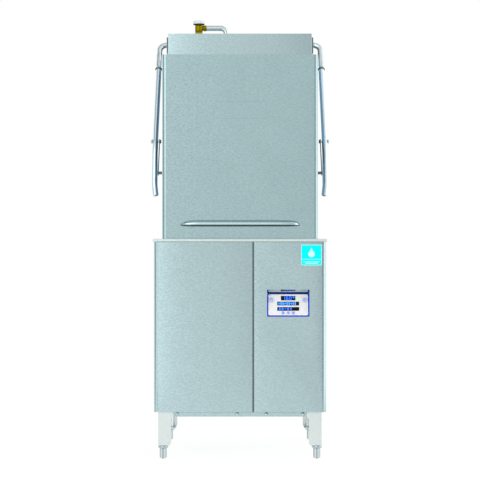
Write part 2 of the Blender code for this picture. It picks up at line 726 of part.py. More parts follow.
def make_chamber_back(materials):
    """Back wall of the chamber, with the bar that the springs are hooked to."""
    panel = block("chamber_back_panel", (-HOOD_HALF_WIDTH, HOOD_HALF_WIDTH), (HOOD_BACK - SHEET, HOOD_BACK),
                  (RIM_TOP + GAP, HOOD_BOTTOM - GAP), materials["steel"])
    spring_depth = PIVOT_DEPTH + YOKE_REACH * math.cos(YOKE_ANGLE)
    shelf = block("spring_shelf", (-SHELF_HALF_WIDTH, SHELF_HALF_WIDTH),
                  (HOOD_BACK - SHEET / 2.0, spring_depth + 0.008),
                  (SPRING_BOTTOM - GAP - SHELF_THICKNESS, SPRING_BOTTOM - GAP))
    weld(panel, shelf)


def make_hood_post(name, side, materials):
    """Corner post between the gutter and the hood; the doors slide up round it."""
    path = [(HOOD_HALF_WIDTH - 0.015, HOOD_FRONT), (HOOD_HALF_WIDTH, HOOD_FRONT)]
    path += [(HOOD_HALF_WIDTH, HOOD_FRONT + 0.015)]
    outline = mirrored(strip_outline(path, 0.002), side)
    prism(name, outline, "Z", (GUTTER_Z + GAP, HOOD_BOTTOM - GAP), materials["tank_steel"])


def make_front_door(materials):
    half = DOOR_HALF_WIDTH
    radius = DOOR_CORNER
    path = [(-half, DOOR_FRONT + DOOR_FLANGE), (-half, DOOR_FRONT + radius)]
    path += arc((-half + radius, DOOR_FRONT + radius), radius, 180.0, 270.0, 6)[1:]
    path += arc((half - radius, DOOR_FRONT + radius), radius, 270.0, 360.0, 6)
    path += [(half, DOOR_FRONT + DOOR_FLANGE)]
    door = prism("front_door", strip_outline(path, SHEET), "Z", (DOOR_BOTTOM, DOOR_TOP), materials["steel"])
    plate = prism("door_plate", rounded_box(0.0, PLATE_Z, *PLATE_HALF_SIZE, 0.008), "Y",
                  (DOOR_FRONT - 0.0006, DOOR_FRONT + 0.0007))
    weld(door, plate)
    return door


def make_side_door(name, side, materials):
    """Side door with an inward flange behind and the round boss of its link."""
    path = [(DOOR_HALF_WIDTH, DOOR_FRONT + DOOR_FLANGE + GAP), (DOOR_HALF_WIDTH, DOOR_BACK)]
    path += [(HOOD_HALF_WIDTH + 0.0025, DOOR_BACK)]
    outline = mirrored(strip_outline(path, SHEET), side)
    door = prism(name, outline, "Z", (DOOR_BOTTOM, DOOR_TOP), materials["steel"])
    reach = tuple(sorted((side * (DOOR_HALF_WIDTH - SHEET / 2.0), side * BOSS_END)))
    boss = rod(name + "_boss", (0.0, LINK_FOOT_DEPTH, LINK_FOOT_Z), "X", BOSS_RADIUS, reach)
    weld(door, boss)
    return door


def make_handle(materials):
    """Formed grip, open below, whose ends taper to the door."""
    face = DOOR_FRONT - GAP
    root = [(face, HANDLE_TOP), (face - 0.010, HANDLE_TOP)]
    middle_z = HANDLE_TOP - HANDLE_BEND
    bend = arc((face - HANDLE_REACH + HANDLE_BEND, middle_z), HANDLE_BEND, 90.0, 180.0, 6)
    outer = root + bend + [(face - HANDLE_REACH, HANDLE_BOTTOM)]
    profile = strip_outline(outer, 0.0025)
    sections = []
    for x in (-1.0, -0.86, 0.86, 1.0):
        scale = 1.0 if abs(x) < 0.9 else 0.14
        section = []
        for depth, z in profile:
            world_y = depth_to_y(face + (depth - face) * scale)
            section.append((x * HANDLE_HALF_LENGTH, world_y, middle_z + (z - middle_z) * max(scale, 0.20)))
        sections.append(section)
    return loft("door_handle", sections, materials["chrome"])


def make_doors(materials):
    lift = make_axis("axis_door_lift", 0.0, DOOR_FRONT, DOOR_BOTTOM)
    front = make_front_door(materials)
    left = make_side_door("left_door", -1, materials)
    right = make_side_door("right_door", 1, materials)
    handle = make_handle(materials)
    for piece in (front, left, right, handle):
        guides = [modifier.object for modifier in piece.modifiers if modifier.type == "BOOLEAN"]
        hang_on(lift, piece, *guides)


# ---------------------------------------------------------------- lift linkage


def arm_length():
    """From the cross tube's axis to the link bolt, seen from the side."""
    return math.hypot(BOLT_DEPTH - PIVOT_DEPTH, BOLT_Z - PIVOT_Z)


def arm_point(side, distance):
    """A point on an arm's axis, so far from the cross tube; the arms splay out to just below their bolts."""
    x = ARM_TOP_X + (LIFT_ARM_X - ARM_TOP_X) * distance / (arm_length() + BELOW_BOLT)
    share = distance / arm_length()
    return Vector((side * x, PIVOT_DEPTH + (BOLT_DEPTH - PIVOT_DEPTH) * share,
                   PIVOT_Z + (BOLT_Z - PIVOT_Z) * share))


def make_cross_tube(materials):
    """One bent tube across the back; its ends turn forward and down into the arms."""
    corners = [arm_point(-1, SLEEVE_START), arm_point(-1, 0.0), arm_point(1, 0.0), arm_point(1, SLEEVE_START)]
    return tube("cross_tube", rounded_route(corners, CROSS_BEND, 8), TUBE_RADIUS, materials["chrome"], 4)


def make_lift_arm(name, side, materials):
    """Straight to below its bolt, then bent more upright, with a slight inward curl at the tip."""
    below_bolt = arm_point(side, arm_length() + BELOW_BOLT)
    curl = below_bolt.lerp(Vector((below_bolt.x, ARM_END_DEPTH, ARM_END_Z)), ARM_CURL)
    tip = (side * ARM_TIP_X, ARM_END_DEPTH, ARM_END_Z)
    corners = [arm_point(side, SLEEVE_START + GAP), below_bolt, curl, tip]
    arm = solid_tube(name, rounded_route(corners, ARM_BEND, 8), TUBE_RADIUS, materials["chrome"], 4)
    hole = rod(name + "_bolt_hole", (side * LIFT_ARM_X, BOLT_DEPTH, BOLT_Z), "X", BOLT_RADIUS + 0.0003,
               (-0.03, 0.03))
    cut(arm, hole)
    return arm


def make_link_bolt(name, side, materials):
    """Bolt through the arm: nut inside, domed head outside."""
    nut_end, head_end = BOLT_ENDS
    washer = LIFT_ARM_X + TUBE_RADIUS + 0.0005
    profile = [(0.0, nut_end), (0.0040, nut_end), (BOLT_RADIUS, nut_end + 0.0008), (BOLT_RADIUS, washer)]
    profile += [(0.0095, washer), (0.0095, washer + 0.0020), (0.0065, head_end - 0.0012), (0.0, head_end)]
    profile = [(radius, side * along) for radius, along in profile]
    return turned(name, profile, (0.0, BOLT_DEPTH, BOLT_Z), "X", materials["chrome"], 24)


def make_door_link(name, side, materials):
    """Flat link from the arm's bolt to the door; it carries the pin that meets the door's boss."""
    top = (BOLT_DEPTH, BOLT_Z)
    foot = (LINK_FOOT_DEPTH, LINK_FOOT_Z)
    span = tuple(sorted((side * LINK_X[0], side * LINK_X[1])))
    link = prism(name, capsule(top, foot, LINK_HALF_WIDTH), "X", span, materials["tank_steel"])
    eye = rod(name + "_eye", (side * LINK_X[0], *top), "X", BOLT_RADIUS + 0.0004, (-0.01, 0.01))
    pin_span = tuple(sorted((side * LINK_PIN_X[0], side * LINK_PIN_X[1])))
    pin = rod(name + "_pin", (0.0, *foot), "X", 0.0060, pin_span)
    cut(link, eye)
    weld(link, pin)
    return link


def make_spring_yoke(materials):
    """Two levers clamped on the cross tube, and the rod between them that the springs hook to."""
    rod_centre = (PIVOT_DEPTH + YOKE_REACH * math.cos(YOKE_ANGLE),
                  PIVOT_Z + YOKE_REACH * math.sin(YOKE_ANGLE))
    outline = capsule((PIVOT_DEPTH, PIVOT_Z), rod_centre, 0.0170, 0.0100)
    half = YOKE_HALF_WIDTH
    yoke = prism("spring_yoke", outline, "X", (-half, -half + YOKE_LEVER), materials["tank_steel"])
    other = prism("yoke_lever", outline, "X", (half - YOKE_LEVER, half))
    bar = rod("yoke_bar", (0.0, *rod_centre), "X", YOKE_ROD_RADIUS, (-half + 0.003, half - 0.003), None, 16)
    bore = rod("yoke_bore", (0.0, PIVOT_DEPTH, PIVOT_Z), "X", TUBE_RADIUS + GAP, (-0.12, 0.12))
    weld(yoke, bar, other)
    cut(yoke, bore)
    return yoke


def make_springs(materials):
    """Outer shape of the extension springs: a coil body with a narrow hook at each end."""
    depth = PIVOT_DEPTH + YOKE_REACH * math.cos(YOKE_ANGLE)
    top = PIVOT_Z + YOKE_REACH * math.sin(YOKE_ANGLE) - YOKE_ROD_RADIUS - GAP
    hook = SPRING_HOOK_RADIUS
    profile = [(0.0, SPRING_BOTTOM), (hook, SPRING_BOTTOM), (hook, SPRING_BOTTOM + 0.030)]
    profile += [(SPRING_RADIUS, SPRING_BOTTOM + 0.040), (SPRING_RADIUS, top - 0.040), (hook, top - 0.030)]
    profile += [(hook, top), (0.0, top)]
    for name, side in (("lift_spring_left", -1), ("lift_spring_right", 1)):
        turned(name, profile, (side * SPRING_X, depth, 0.0), "Z", materials["tank_steel"], 24)


def make_bracket(name, side, materials):
    """Angle plate behind the hood whose ear carries the cross tube."""
    back = HOOD_BACK + GAP
    path = [(BRACKET_FOOT_X, back), (BRACKET_X[1], back), (BRACKET_X[1], BRACKET_BACK)]
    outline = mirrored(strip_outline(path, BRACKET_X[1] - BRACKET_X[0]), side)
    bracket = prism(name, outline, "Z", BRACKET_Z, materials["tank_steel"])
    bore = rod(name + "_bore", (side * BRACKET_X[0], PIVOT_DEPTH, PIVOT_Z), "X", TUBE_RADIUS + 0.0005,
               (-0.01, 0.01))
    cut(bracket, bore)
    return bracket


def make_linkage(materials):
    axis = make_axis("axis_arm_swing", 0.0, PIVOT_DEPTH, PIVOT_Z)
    swinging = [make_cross_tube(materials), make_spring_yoke(materials)]
    for side_name, side in (("left", -1), ("right", 1)):
        make_bracket("arm_bracket_" + side_name, side, materials)
        swinging.append(make_lift_arm("lift_arm_" + side_name, side, materials))
        swinging.append(make_link_bolt("link_bolt_" + side_name, side, materials))
        link = make_door_link("door_link_" + side_name, side, materials)
        link_axis = make_axis("axis_door_link_" + side_name, 0.0, BOLT_DEPTH, BOLT_Z)
        link_guides = [modifier.object for modifier in link.modifiers if modifier.type == "BOOLEAN"]
        hang_on(link_axis, link, *link_guides)
    for piece in swinging:
        guides = [modifier.object for modifier in piece.modifiers if modifier.type == "BOOLEAN"]
        hang_on(axis, piece, *guides)
    make_springs(materials)


# ---------------------------------------------------------------- wash and rinse


def make_pump(materials):
    """Volute under the tank with its impeller, and the motor on the same shaft."""
    radius = PUMP_RADIUS
    profile = [(0.030, -0.035), (radius, -0.035), (radius, 0.035), (0.014, 0.035), (0.014, 0.031)]
    profile += [(radius - 0.005, 0.031), (radius - 0.005, -0.031), (0.030, -0.031)]
    centre = (PUMP_X, PUMP_DEPTH, PUMP_Z)
    housing = turned("pump_housing", profile, centre, "X", materials["cast_iron"])
    outlet = rod("pump_outlet", (PUMP_X, PUMP_DEPTH, 0.0), "Z", DISCHARGE_RADIUS + 0.004,
                 (PUMP_Z + radius - 0.0035, DISCHARGE_TOP - GAP))
    weld(housing, outlet)
    impeller = [(0.0, -0.024), (0.022, -0.024), (0.058, -0.004), (0.058, 0.006), (0.024, 0.012)]
    impeller += [(0.0110, 0.014), (0.0110, 0.0497), (0.0, 0.0497)]
    axis = make_axis("axis_pump", *centre)
    wheel = turned("pump_impeller", impeller, centre, "X", materials["brass"])
    wheel.parent = axis
    wheel.location = (0.0, 0.0, 0.0)
    motor = [(0.0, 0.050), (0.040, 0.050), (0.072, 0.060), (0.072, 0.240), (0.060, 0.252), (0.0, 0.252)]
    turned("pump_motor", motor, centre, "X", materials["grey_plastic"])


def make_manifold(materials):
    """Wash manifold: flat duct up the back wall, a branch to each hub and the pipe from the pump."""
    manifold = block("wash_manifold", (-0.035, 0.035), DUCT_DEPTH, DUCT_Z, materials["tank_steel"])
    branch_depth = (ARM_AXIS_DEPTH - 0.025, DUCT_DEPTH[0] + 0.006)
    lower = block("manifold_lower", (-0.035, 0.035), branch_depth, (DUCT_Z[0] - 0.004, DUCT_Z[0] + 0.014))
    upper = block("manifold_upper", (-0.030, 0.030), branch_depth, (DUCT_Z[1] - 0.016, DUCT_Z[1]))
    axis = (0.0, ARM_AXIS_DEPTH, 0.0)
    lower_hub = rod("manifold_lower_hub", axis, "Z", SPINDLE_RADIUS, (DUCT_Z[0] + 0.010, 0.8340))
    upper_hub = rod("manifold_upper_hub", axis, "Z", SPINDLE_RADIUS, (1.3390, DUCT_Z[1] - 0.010))
    feed = rod("manifold_feed", (PUMP_X, PUMP_DEPTH, 0.0), "Z", DISCHARGE_RADIUS,
               (DISCHARGE_TOP, DUCT_Z[0] + 0.005))
    weld(manifold, lower, upper, lower_hub, upper_hub, feed)


def make_spray_arm(name, z, half_height, reach, half_width, tilt, material):
    """A flat arm with rounded tips and a hub bored for the spindle."""
    axis = make_axis("axis_" + name, 0.0, ARM_AXIS_DEPTH, z)
    heading = math.radians(tilt)
    tip = Vector((math.cos(heading), math.sin(heading))) * (reach - half_width)
    centre = Vector((0.0, ARM_AXIS_DEPTH))
    outline = capsule(centre - tip, centre + tip, half_width)
    arm = prism(name, outline, "Z", (z - half_height, z + half_height), material)
    soften(arm, 0.0015, 2)
    reach_up = half_height + 0.001
    hub = rod(name + "_hub", (0.0, ARM_AXIS_DEPTH, z), "Z", HUB_RADIUS, (-reach_up, reach_up))
    bore = rod(name + "_bore", (0.0, ARM_AXIS_DEPTH, z), "Z", SPINDLE_RADIUS + 0.0006, (-0.03, 0.03))
    weld(arm, hub)
    cut(arm, bore)
    hang_on(axis, arm, hub, bore)


def make_spray_arms(materials):
    steel = materials["tank_steel"]
    rinse_reach = WASH_ARM_REACH - 0.010
    for name, z, turn in (("lower_wash_arm", 0.8130, 20.0), ("upper_wash_arm", 1.3790, -20.0)):
        make_spray_arm(name, z, 0.0060, WASH_ARM_REACH, WASH_ARM_HALF_WIDTH, turn, steel)
    for name, z, turn in (("lower_rinse_arm", 0.8275, -40.0), ("upper_rinse_arm", 1.3620, 40.0)):
        make_spray_arm(name, z, 0.0040, rinse_reach, RINSE_ARM_HALF_WIDTH, turn, steel)


def make_booster(materials):
    """Tank that heats the rinse water, on the base of the cabinet."""
    profile = [(0.0, 0.1873), (0.070, 0.1873), (0.078, 0.200), (0.078, 0.440), (0.060, 0.455), (0.0, 0.455)]
    turned("booster_heater", profile, (BOOSTER_X, BOOSTER_DEPTH, 0.0), "Z", materials["tank_steel"])


def make_rinse_plumbing(materials):
    """The supply pipe up the back, the vacuum breaker and the pipe into the hood."""
    corners = [(RISER_X, RISER_START, RISER_BOTTOM), (RISER_X, RISER_DEPTH, RISER_BOTTOM)]
    corners += [(RISER_X, RISER_DEPTH, RISER_TOP), (RISER_X, BREAKER_DEPTH, RISER_TOP)]
    corners += [(RISER_X, BREAKER_DEPTH, BREAKER_Z - GAP)]
    tube("supply_pipe", rounded_route(corners, RISER_BEND, 5), RISER_RADIUS, materials["chrome"], 2)
    body = [(0.0, 0.0), (0.0130, 0.0), (0.0130, 0.006), (0.0167, 0.006), (0.0167, 0.030), (0.0140, 0.033)]
    body += [(0.0, 0.033)]
    centre = (RISER_X, BREAKER_DEPTH, BREAKER_Z)
    brass = turned("vacuum_breaker_body", body, centre, "Z", materials["brass"])
    outlet = rod("breaker_outlet", (RISER_X, BREAKER_DEPTH, RINSE_PIPE_Z), "X", RINSE_PIPE_RADIUS + 0.001,
                 (0.010, BREAKER_OUTLET))
    weld(brass, outlet)
    cap = [(0.0, 0.0333), (0.0230, 0.0333), (0.0253, 0.0370), (0.0253, 0.0490), (0.0230, 0.0525)]
    cap += [(0.0, 0.0535)]
    turned("vacuum_breaker_cap", cap, centre, "Z", materials["white_plastic"])
    corners = [(RISER_X + BREAKER_OUTLET + GAP, BREAKER_DEPTH, RINSE_PIPE_Z)]
    corners += [(RINSE_PIPE_X, BREAKER_DEPTH, RINSE_PIPE_Z), (RINSE_PIPE_X, BREAKER_DEPTH, HOOD_TOP + GAP)]
    tube("rinse_pipe", rounded_route(corners, RINSE_PIPE_BEND, 8), RINSE_PIPE_RADIUS, materials["chrome"], 4)


# ---------------------------------------------------------------- the whole machine


def clear_scene():
    for item in list(bpy.data.objects):
        bpy.data.objects.remove(item, do_unlink=True)


def main():
    clear_scene()
    materials = make_materials()
    make_cabinet(materials)
    make_control_box(materials)
    make_display(materials)
    make_tank(materials)
    make_rack_track(materials)
    make_strainer(materials)
    make_scrap_basket(materials)
    make_standpipe(materials)
    make_heater(materials)
    make_hood(materials)
    make_chamber_back(materials)
    make_hood_post("hood_post_left", -1, materials)
    make_hood_post("hood_post_right", 1, materials)
    make_doors(materials)
    make_linkage(materials)
    make_pump(materials)
    make_manifold(materials)
    make_spray_arms(materials)
    make_booster(materials)
    make_rinse_plumbing(materials)


main()
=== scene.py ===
"""Looks of the door-type commercial dishwasher: materials, detail pieces, light and camera.

Every length is in metres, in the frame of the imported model: +Z up, the front faces -Y.
"""

import json
from math import asin, cos, degrees, pi, radians, sin, tan, tau

import bmesh
import bpy
from mathutils import Matrix, Vector

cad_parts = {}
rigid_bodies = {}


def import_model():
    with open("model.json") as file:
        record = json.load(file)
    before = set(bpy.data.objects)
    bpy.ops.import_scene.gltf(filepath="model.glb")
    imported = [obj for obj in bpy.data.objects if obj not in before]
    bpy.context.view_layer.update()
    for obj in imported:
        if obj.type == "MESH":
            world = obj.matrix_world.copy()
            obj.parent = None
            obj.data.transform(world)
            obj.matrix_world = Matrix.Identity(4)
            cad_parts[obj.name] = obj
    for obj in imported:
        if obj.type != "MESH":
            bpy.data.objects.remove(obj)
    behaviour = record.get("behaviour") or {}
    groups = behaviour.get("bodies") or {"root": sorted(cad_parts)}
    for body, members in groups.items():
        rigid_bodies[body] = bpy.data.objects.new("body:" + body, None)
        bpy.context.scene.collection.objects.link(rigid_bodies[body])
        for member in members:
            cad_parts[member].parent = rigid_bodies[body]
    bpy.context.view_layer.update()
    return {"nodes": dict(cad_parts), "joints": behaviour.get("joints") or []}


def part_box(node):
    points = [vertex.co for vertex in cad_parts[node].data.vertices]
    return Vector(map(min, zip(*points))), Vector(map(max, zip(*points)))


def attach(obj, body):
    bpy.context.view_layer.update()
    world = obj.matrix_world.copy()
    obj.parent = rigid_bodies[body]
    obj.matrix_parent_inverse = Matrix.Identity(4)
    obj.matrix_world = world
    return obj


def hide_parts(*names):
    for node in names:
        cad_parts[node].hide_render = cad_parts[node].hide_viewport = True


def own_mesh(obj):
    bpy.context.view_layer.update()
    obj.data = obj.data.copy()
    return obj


for item in list(bpy.data.objects):
    bpy.data.objects.remove(item, do_unlink=True)

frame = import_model()
NODES = frame["nodes"]
JOINTS = {joint["name"]: joint for joint in frame["joints"]}

# ---- places read from the frame

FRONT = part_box("front_panel_left")[0].y            # the cabinet's front plane
PIVOT = Vector(JOINTS["arm_swing"]["pos_m"])
BOLT = Vector(JOINTS["door_link_right_swing"]["pos_m"])
DISPLAY_NORMAL = Vector(JOINTS["start_button_press"]["axis"])   # points into the machine
SHEET = 0.0015
CORNER_RADIUS = 0.0168                             # round front corners of the side panels
HAIR = 0.0002                                      # a film's thickness, or the air under one
SIDES = (("left", -1), ("right", 1))
WINDOW_TOP = 0.666                                 # upper edge of the display's window in the front panel

# ---- material nodes


def node(tree, kind, **settings):
    made = tree.nodes.new(kind)
    for name, value in settings.items():
        if name in made.inputs:
            made.inputs[name].default_value = value
        else:
            setattr(made, name, value)
    return made


def noise(tree, scale, detail=2.0, roughness=0.55, stretch=(1.0, 1.0, 1.0)):
    """Noise on the piece's own coordinates, which move with it."""
    coordinates = node(tree, "ShaderNodeTexCoord")
    mapping = node(tree, "ShaderNodeMapping", Scale=stretch)
    texture = node(tree, "ShaderNodeTexNoise", Scale=scale, Detail=detail, Roughness=roughness)
    tree.links.new(coordinates.outputs["Object"], mapping.inputs["Vector"])
    tree.links.new(mapping.outputs["Vector"], texture.inputs["Vector"])
    return texture.outputs["Fac"]


def remap(tree, value, low, high, start=0.3, end=0.7):
    ranged = node(tree, "ShaderNodeMapRange")
    tree.links.new(value, ranged.inputs["Value"])
    for name, number in (("From Min", start), ("From Max", end), ("To Min", low), ("To Max", high)):
        ranged.inputs[name].default_value = number
    return ranged.outputs["Result"]


def combine(tree, kind, first, second):
    operation = node(tree, "ShaderNodeMath", operation=kind)
    for socket, value in zip(operation.inputs, (first, second)):
        if isinstance(value, (int, float)):
            socket.default_value = value
        else:
            tree.links.new(value, socket)
    return operation.outputs[0]


def tint(tree, colour, factor):
    """A colour multiplied by a varying number."""
    scaled = node(tree, "ShaderNodeVectorMath", operation="SCALE")
    scaled.inputs[0].default_value = colour
    tree.links.new(factor, scaled.inputs["Scale"])
    return scaled.outputs["Vector"]


def add_bump(tree, shader, layers, distance=0.0004):
    """Bump from (value, strength) layers, one on top of the other."""
    normal = None
    for value, strength in layers:
        bump = node(tree, "ShaderNodeBump", Strength=strength, Distance=distance)
        tree.links.new(value, bump.inputs["Height"])
        if normal is not None:
            tree.links.new(normal, bump.inputs["Normal"])
        normal = bump.outputs["Normal"]
    tree.links.new(normal, shader.inputs["Normal"])


def shader_of(name):
    material = bpy.data.materials.new(name)
    material.use_nodes = True
    tree = material.node_tree
    return material, tree, tree.nodes["Principled BSDF"]


def set_surface(tree, shader, colour, factor, rough, metallic=0.0):
    """A varied colour and a varied roughness; metallic is one number."""
    tree.links.new(tint(tree, colour, factor), shader.inputs["Base Color"])
    tree.links.new(rough, shader.inputs["Roughness"])
    shader.inputs["Metallic"].default_value = metallic


def level_ramp(tree, value, levels):
    """A ramp of grey levels or colours; value runs from 0 to 1."""
    ramp = node(tree, "ShaderNodeValToRGB")
    tree.links.new(value, ramp.inputs["Fac"])
    elements = ramp.color_ramp.elements
    while len(elements) < len(levels):
        elements.new(0.5)
    for element, (place, level) in zip(elements, levels):
        element.position = place
        element.color = (*level, 1.0) if isinstance(level, tuple) else (level, level, level, 1.0)
    return ramp.outputs["Color"]


def drifting(tree, axis, low, high, at_low, at_high):
    """A number that runs from one value to another between two places on an axis of the piece."""
    coordinates = node(tree, "ShaderNodeTexCoord")
    split = node(tree, "ShaderNodeSeparateXYZ")
    tree.links.new(coordinates.outputs["Object"], split.inputs[0])
    return remap(tree, split.outputs[axis], at_low, at_high, low, high)


def brushed(name, colour, roughness=0.32, blotch=0.1, painted_light_drifts=()):
    """Satin stainless sheet: cloudy grain of several millimetres, over very fine short strokes."""
    material, tree, shader = shader_of(name)
    cloud = noise(tree, 230.0, 3.0, 0.6, (0.4, 1.0, 1.0))
    patch = noise(tree, 9.0, 2.0, 0.5)
    stroke = noise(tree, 420.0, 2.0, 0.5, (1.0, 1.0, 0.18))
    factor = remap(tree, cloud, 1.0 - blotch, 1.0 + blotch)
    factor = combine(tree, "MULTIPLY", factor, remap(tree, patch, 0.985, 1.015))
    factor = combine(tree, "MULTIPLY", factor, remap(tree, stroke, 0.97, 1.03))
    # Painted light falloff: each drift makes the colour lighter or darker across the piece, where the studio light
    # falls more or less.
    for drift in painted_light_drifts:
        factor = combine(tree, "MULTIPLY", factor, drifting(tree, *drift))
    set_surface(tree, shader, colour, factor, remap(tree, cloud, roughness - 0.04, roughness + 0.04), 1.0)
    add_bump(tree, shader, [(cloud, 0.05), (stroke, 0.05)])
    return material


def polished(name, colour, roughness=0.1, grain=0.06):
    """Bright metal with faint drawing lines and a little unevenness."""
    material, tree, shader = shader_of(name)
    wave = noise(tree, 40.0, 2.0)
    fine = noise(tree, 900.0, 2.0)
    factor = remap(tree, wave, 1.0 - grain, 1.0 + grain * 0.5)
    set_surface(tree, shader, colour, factor, remap(tree, fine, roughness * 0.8, roughness * 1.3), 1.0)
    add_bump(tree, shader, [(fine, 0.05), (wave, 0.03)], 0.0002)
    return material


def painted_reflection_metal(name, colour, levels, roughness=0.3, turned=1.0, axis="X"):
    """Polished bar with painted reflection and shade in lengthwise bands: levels over its round side along the axis,
    set by which way the surface faces; turned -1 mirrors them.
    """
    material, tree, shader = shader_of(name)
    fine = noise(tree, 900.0, 2.0)
    coordinates = node(tree, "ShaderNodeTexCoord")
    split = node(tree, "ShaderNodeSeparateXYZ")
    tree.links.new(coordinates.outputs["Normal"], split.inputs[0])
    stripes = level_ramp(tree, remap(tree, split.outputs[axis], 0.0, 1.0, -turned, turned), levels)
    shade = node(tree, "ShaderNodeVectorMath", operation="MULTIPLY")
    tree.links.new(stripes, shade.inputs[0])
    tree.links.new(tint(tree, colour, remap(tree, fine, 0.96, 1.03)), shade.inputs[1])
    tree.links.new(shade.outputs["Vector"], shader.inputs["Base Color"])
    tree.links.new(remap(tree, fine, roughness - 0.04, roughness + 0.04), shader.inputs["Roughness"])
    shader.inputs["Metallic"].default_value = 1.0
    add_bump(tree, shader, [(fine, 0.05)], 0.0002)
    return material


def plastic(name, colour, roughness=0.35, mottled=0.03, texture=900.0, shine=0.5):
    """Moulded plastic with a fine leathery texture."""
    material, tree, shader = shader_of(name)
    fine = noise(tree, texture, 2.0)
    slow = noise(tree, 30.0, 2.0)
    factor = remap(tree, slow, 1.0 - mottled, 1.0 + mottled)
    set_surface(tree, shader, colour, factor, remap(tree, fine, roughness - 0.06, roughness + 0.08))
    shader.inputs["Specular IOR Level"].default_value = shine
    add_bump(tree, shader, [(fine, 0.12)], 0.0002)
    return material


def cast(name, colour, roughness=0.55, metallic=0.3):
    """Painted casting: coarse skin and worn patches."""
    material, tree, shader = shader_of(name)
    coarse = noise(tree, 260.0, 4.0, 0.65)
    worn = noise(tree, 22.0, 3.0)
    factor = combine(tree, "MULTIPLY", remap(tree, coarse, 0.88, 1.12), remap(tree, worn, 0.9, 1.1))
    rough = remap(tree, coarse, roughness - 0.08, roughness + 0.12)
    set_surface(tree, shader, colour, factor, rough, metallic)
    add_bump(tree, shader, [(coarse, 0.35)], 0.0006)
    return material


def glowing(name, colour, strength):
    """A lit segment under dark glass, a little uneven."""
    material, tree, shader = shader_of(name)
    cell = noise(tree, 700.0, 1.0)
    tree.links.new(tint(tree, colour, remap(tree, cell, 0.8, 1.1)), shader.inputs["Base Color"])
    tree.links.new(tint(tree, colour, remap(tree, cell, 0.85, 1.15)), shader.inputs["Emission Color"])
    shader.inputs["Emission Strength"].default_value = strength
    shader.inputs["Roughness"].default_value = 0.4
    return material


# Painted reflection: a blue-grey stripe on the arms' side towards the doors, and light and dark bands down the
# feet's shanks.
ARM_PAINTED_REFLECTION = [(0.0, 1.0), (0.52, 1.0), (0.68, (0.46, 0.6, 0.8)), (0.88, (0.42, 0.58, 0.86)), (1.0, 0.8)]
FOOT_PAINTED_REFLECTION = [(0.0, 0.4), (0.08, 0.45), (0.16, 1.0), (0.38, 1.0), (0.44, 0.45), (0.53, 0.45), (0.6, 1.0),
                (0.84, 0.9), (1.0, 0.6)]
# Painted shade and highlight on the grip, from its underside to its top.
GRIP_PAINTED_SHADE = [(0.0, 0.3), (0.22, 0.42), (0.34, 1.1), (0.55, 1.15), (0.72, 1.0), (0.88, 0.85), (1.0, 0.75)]

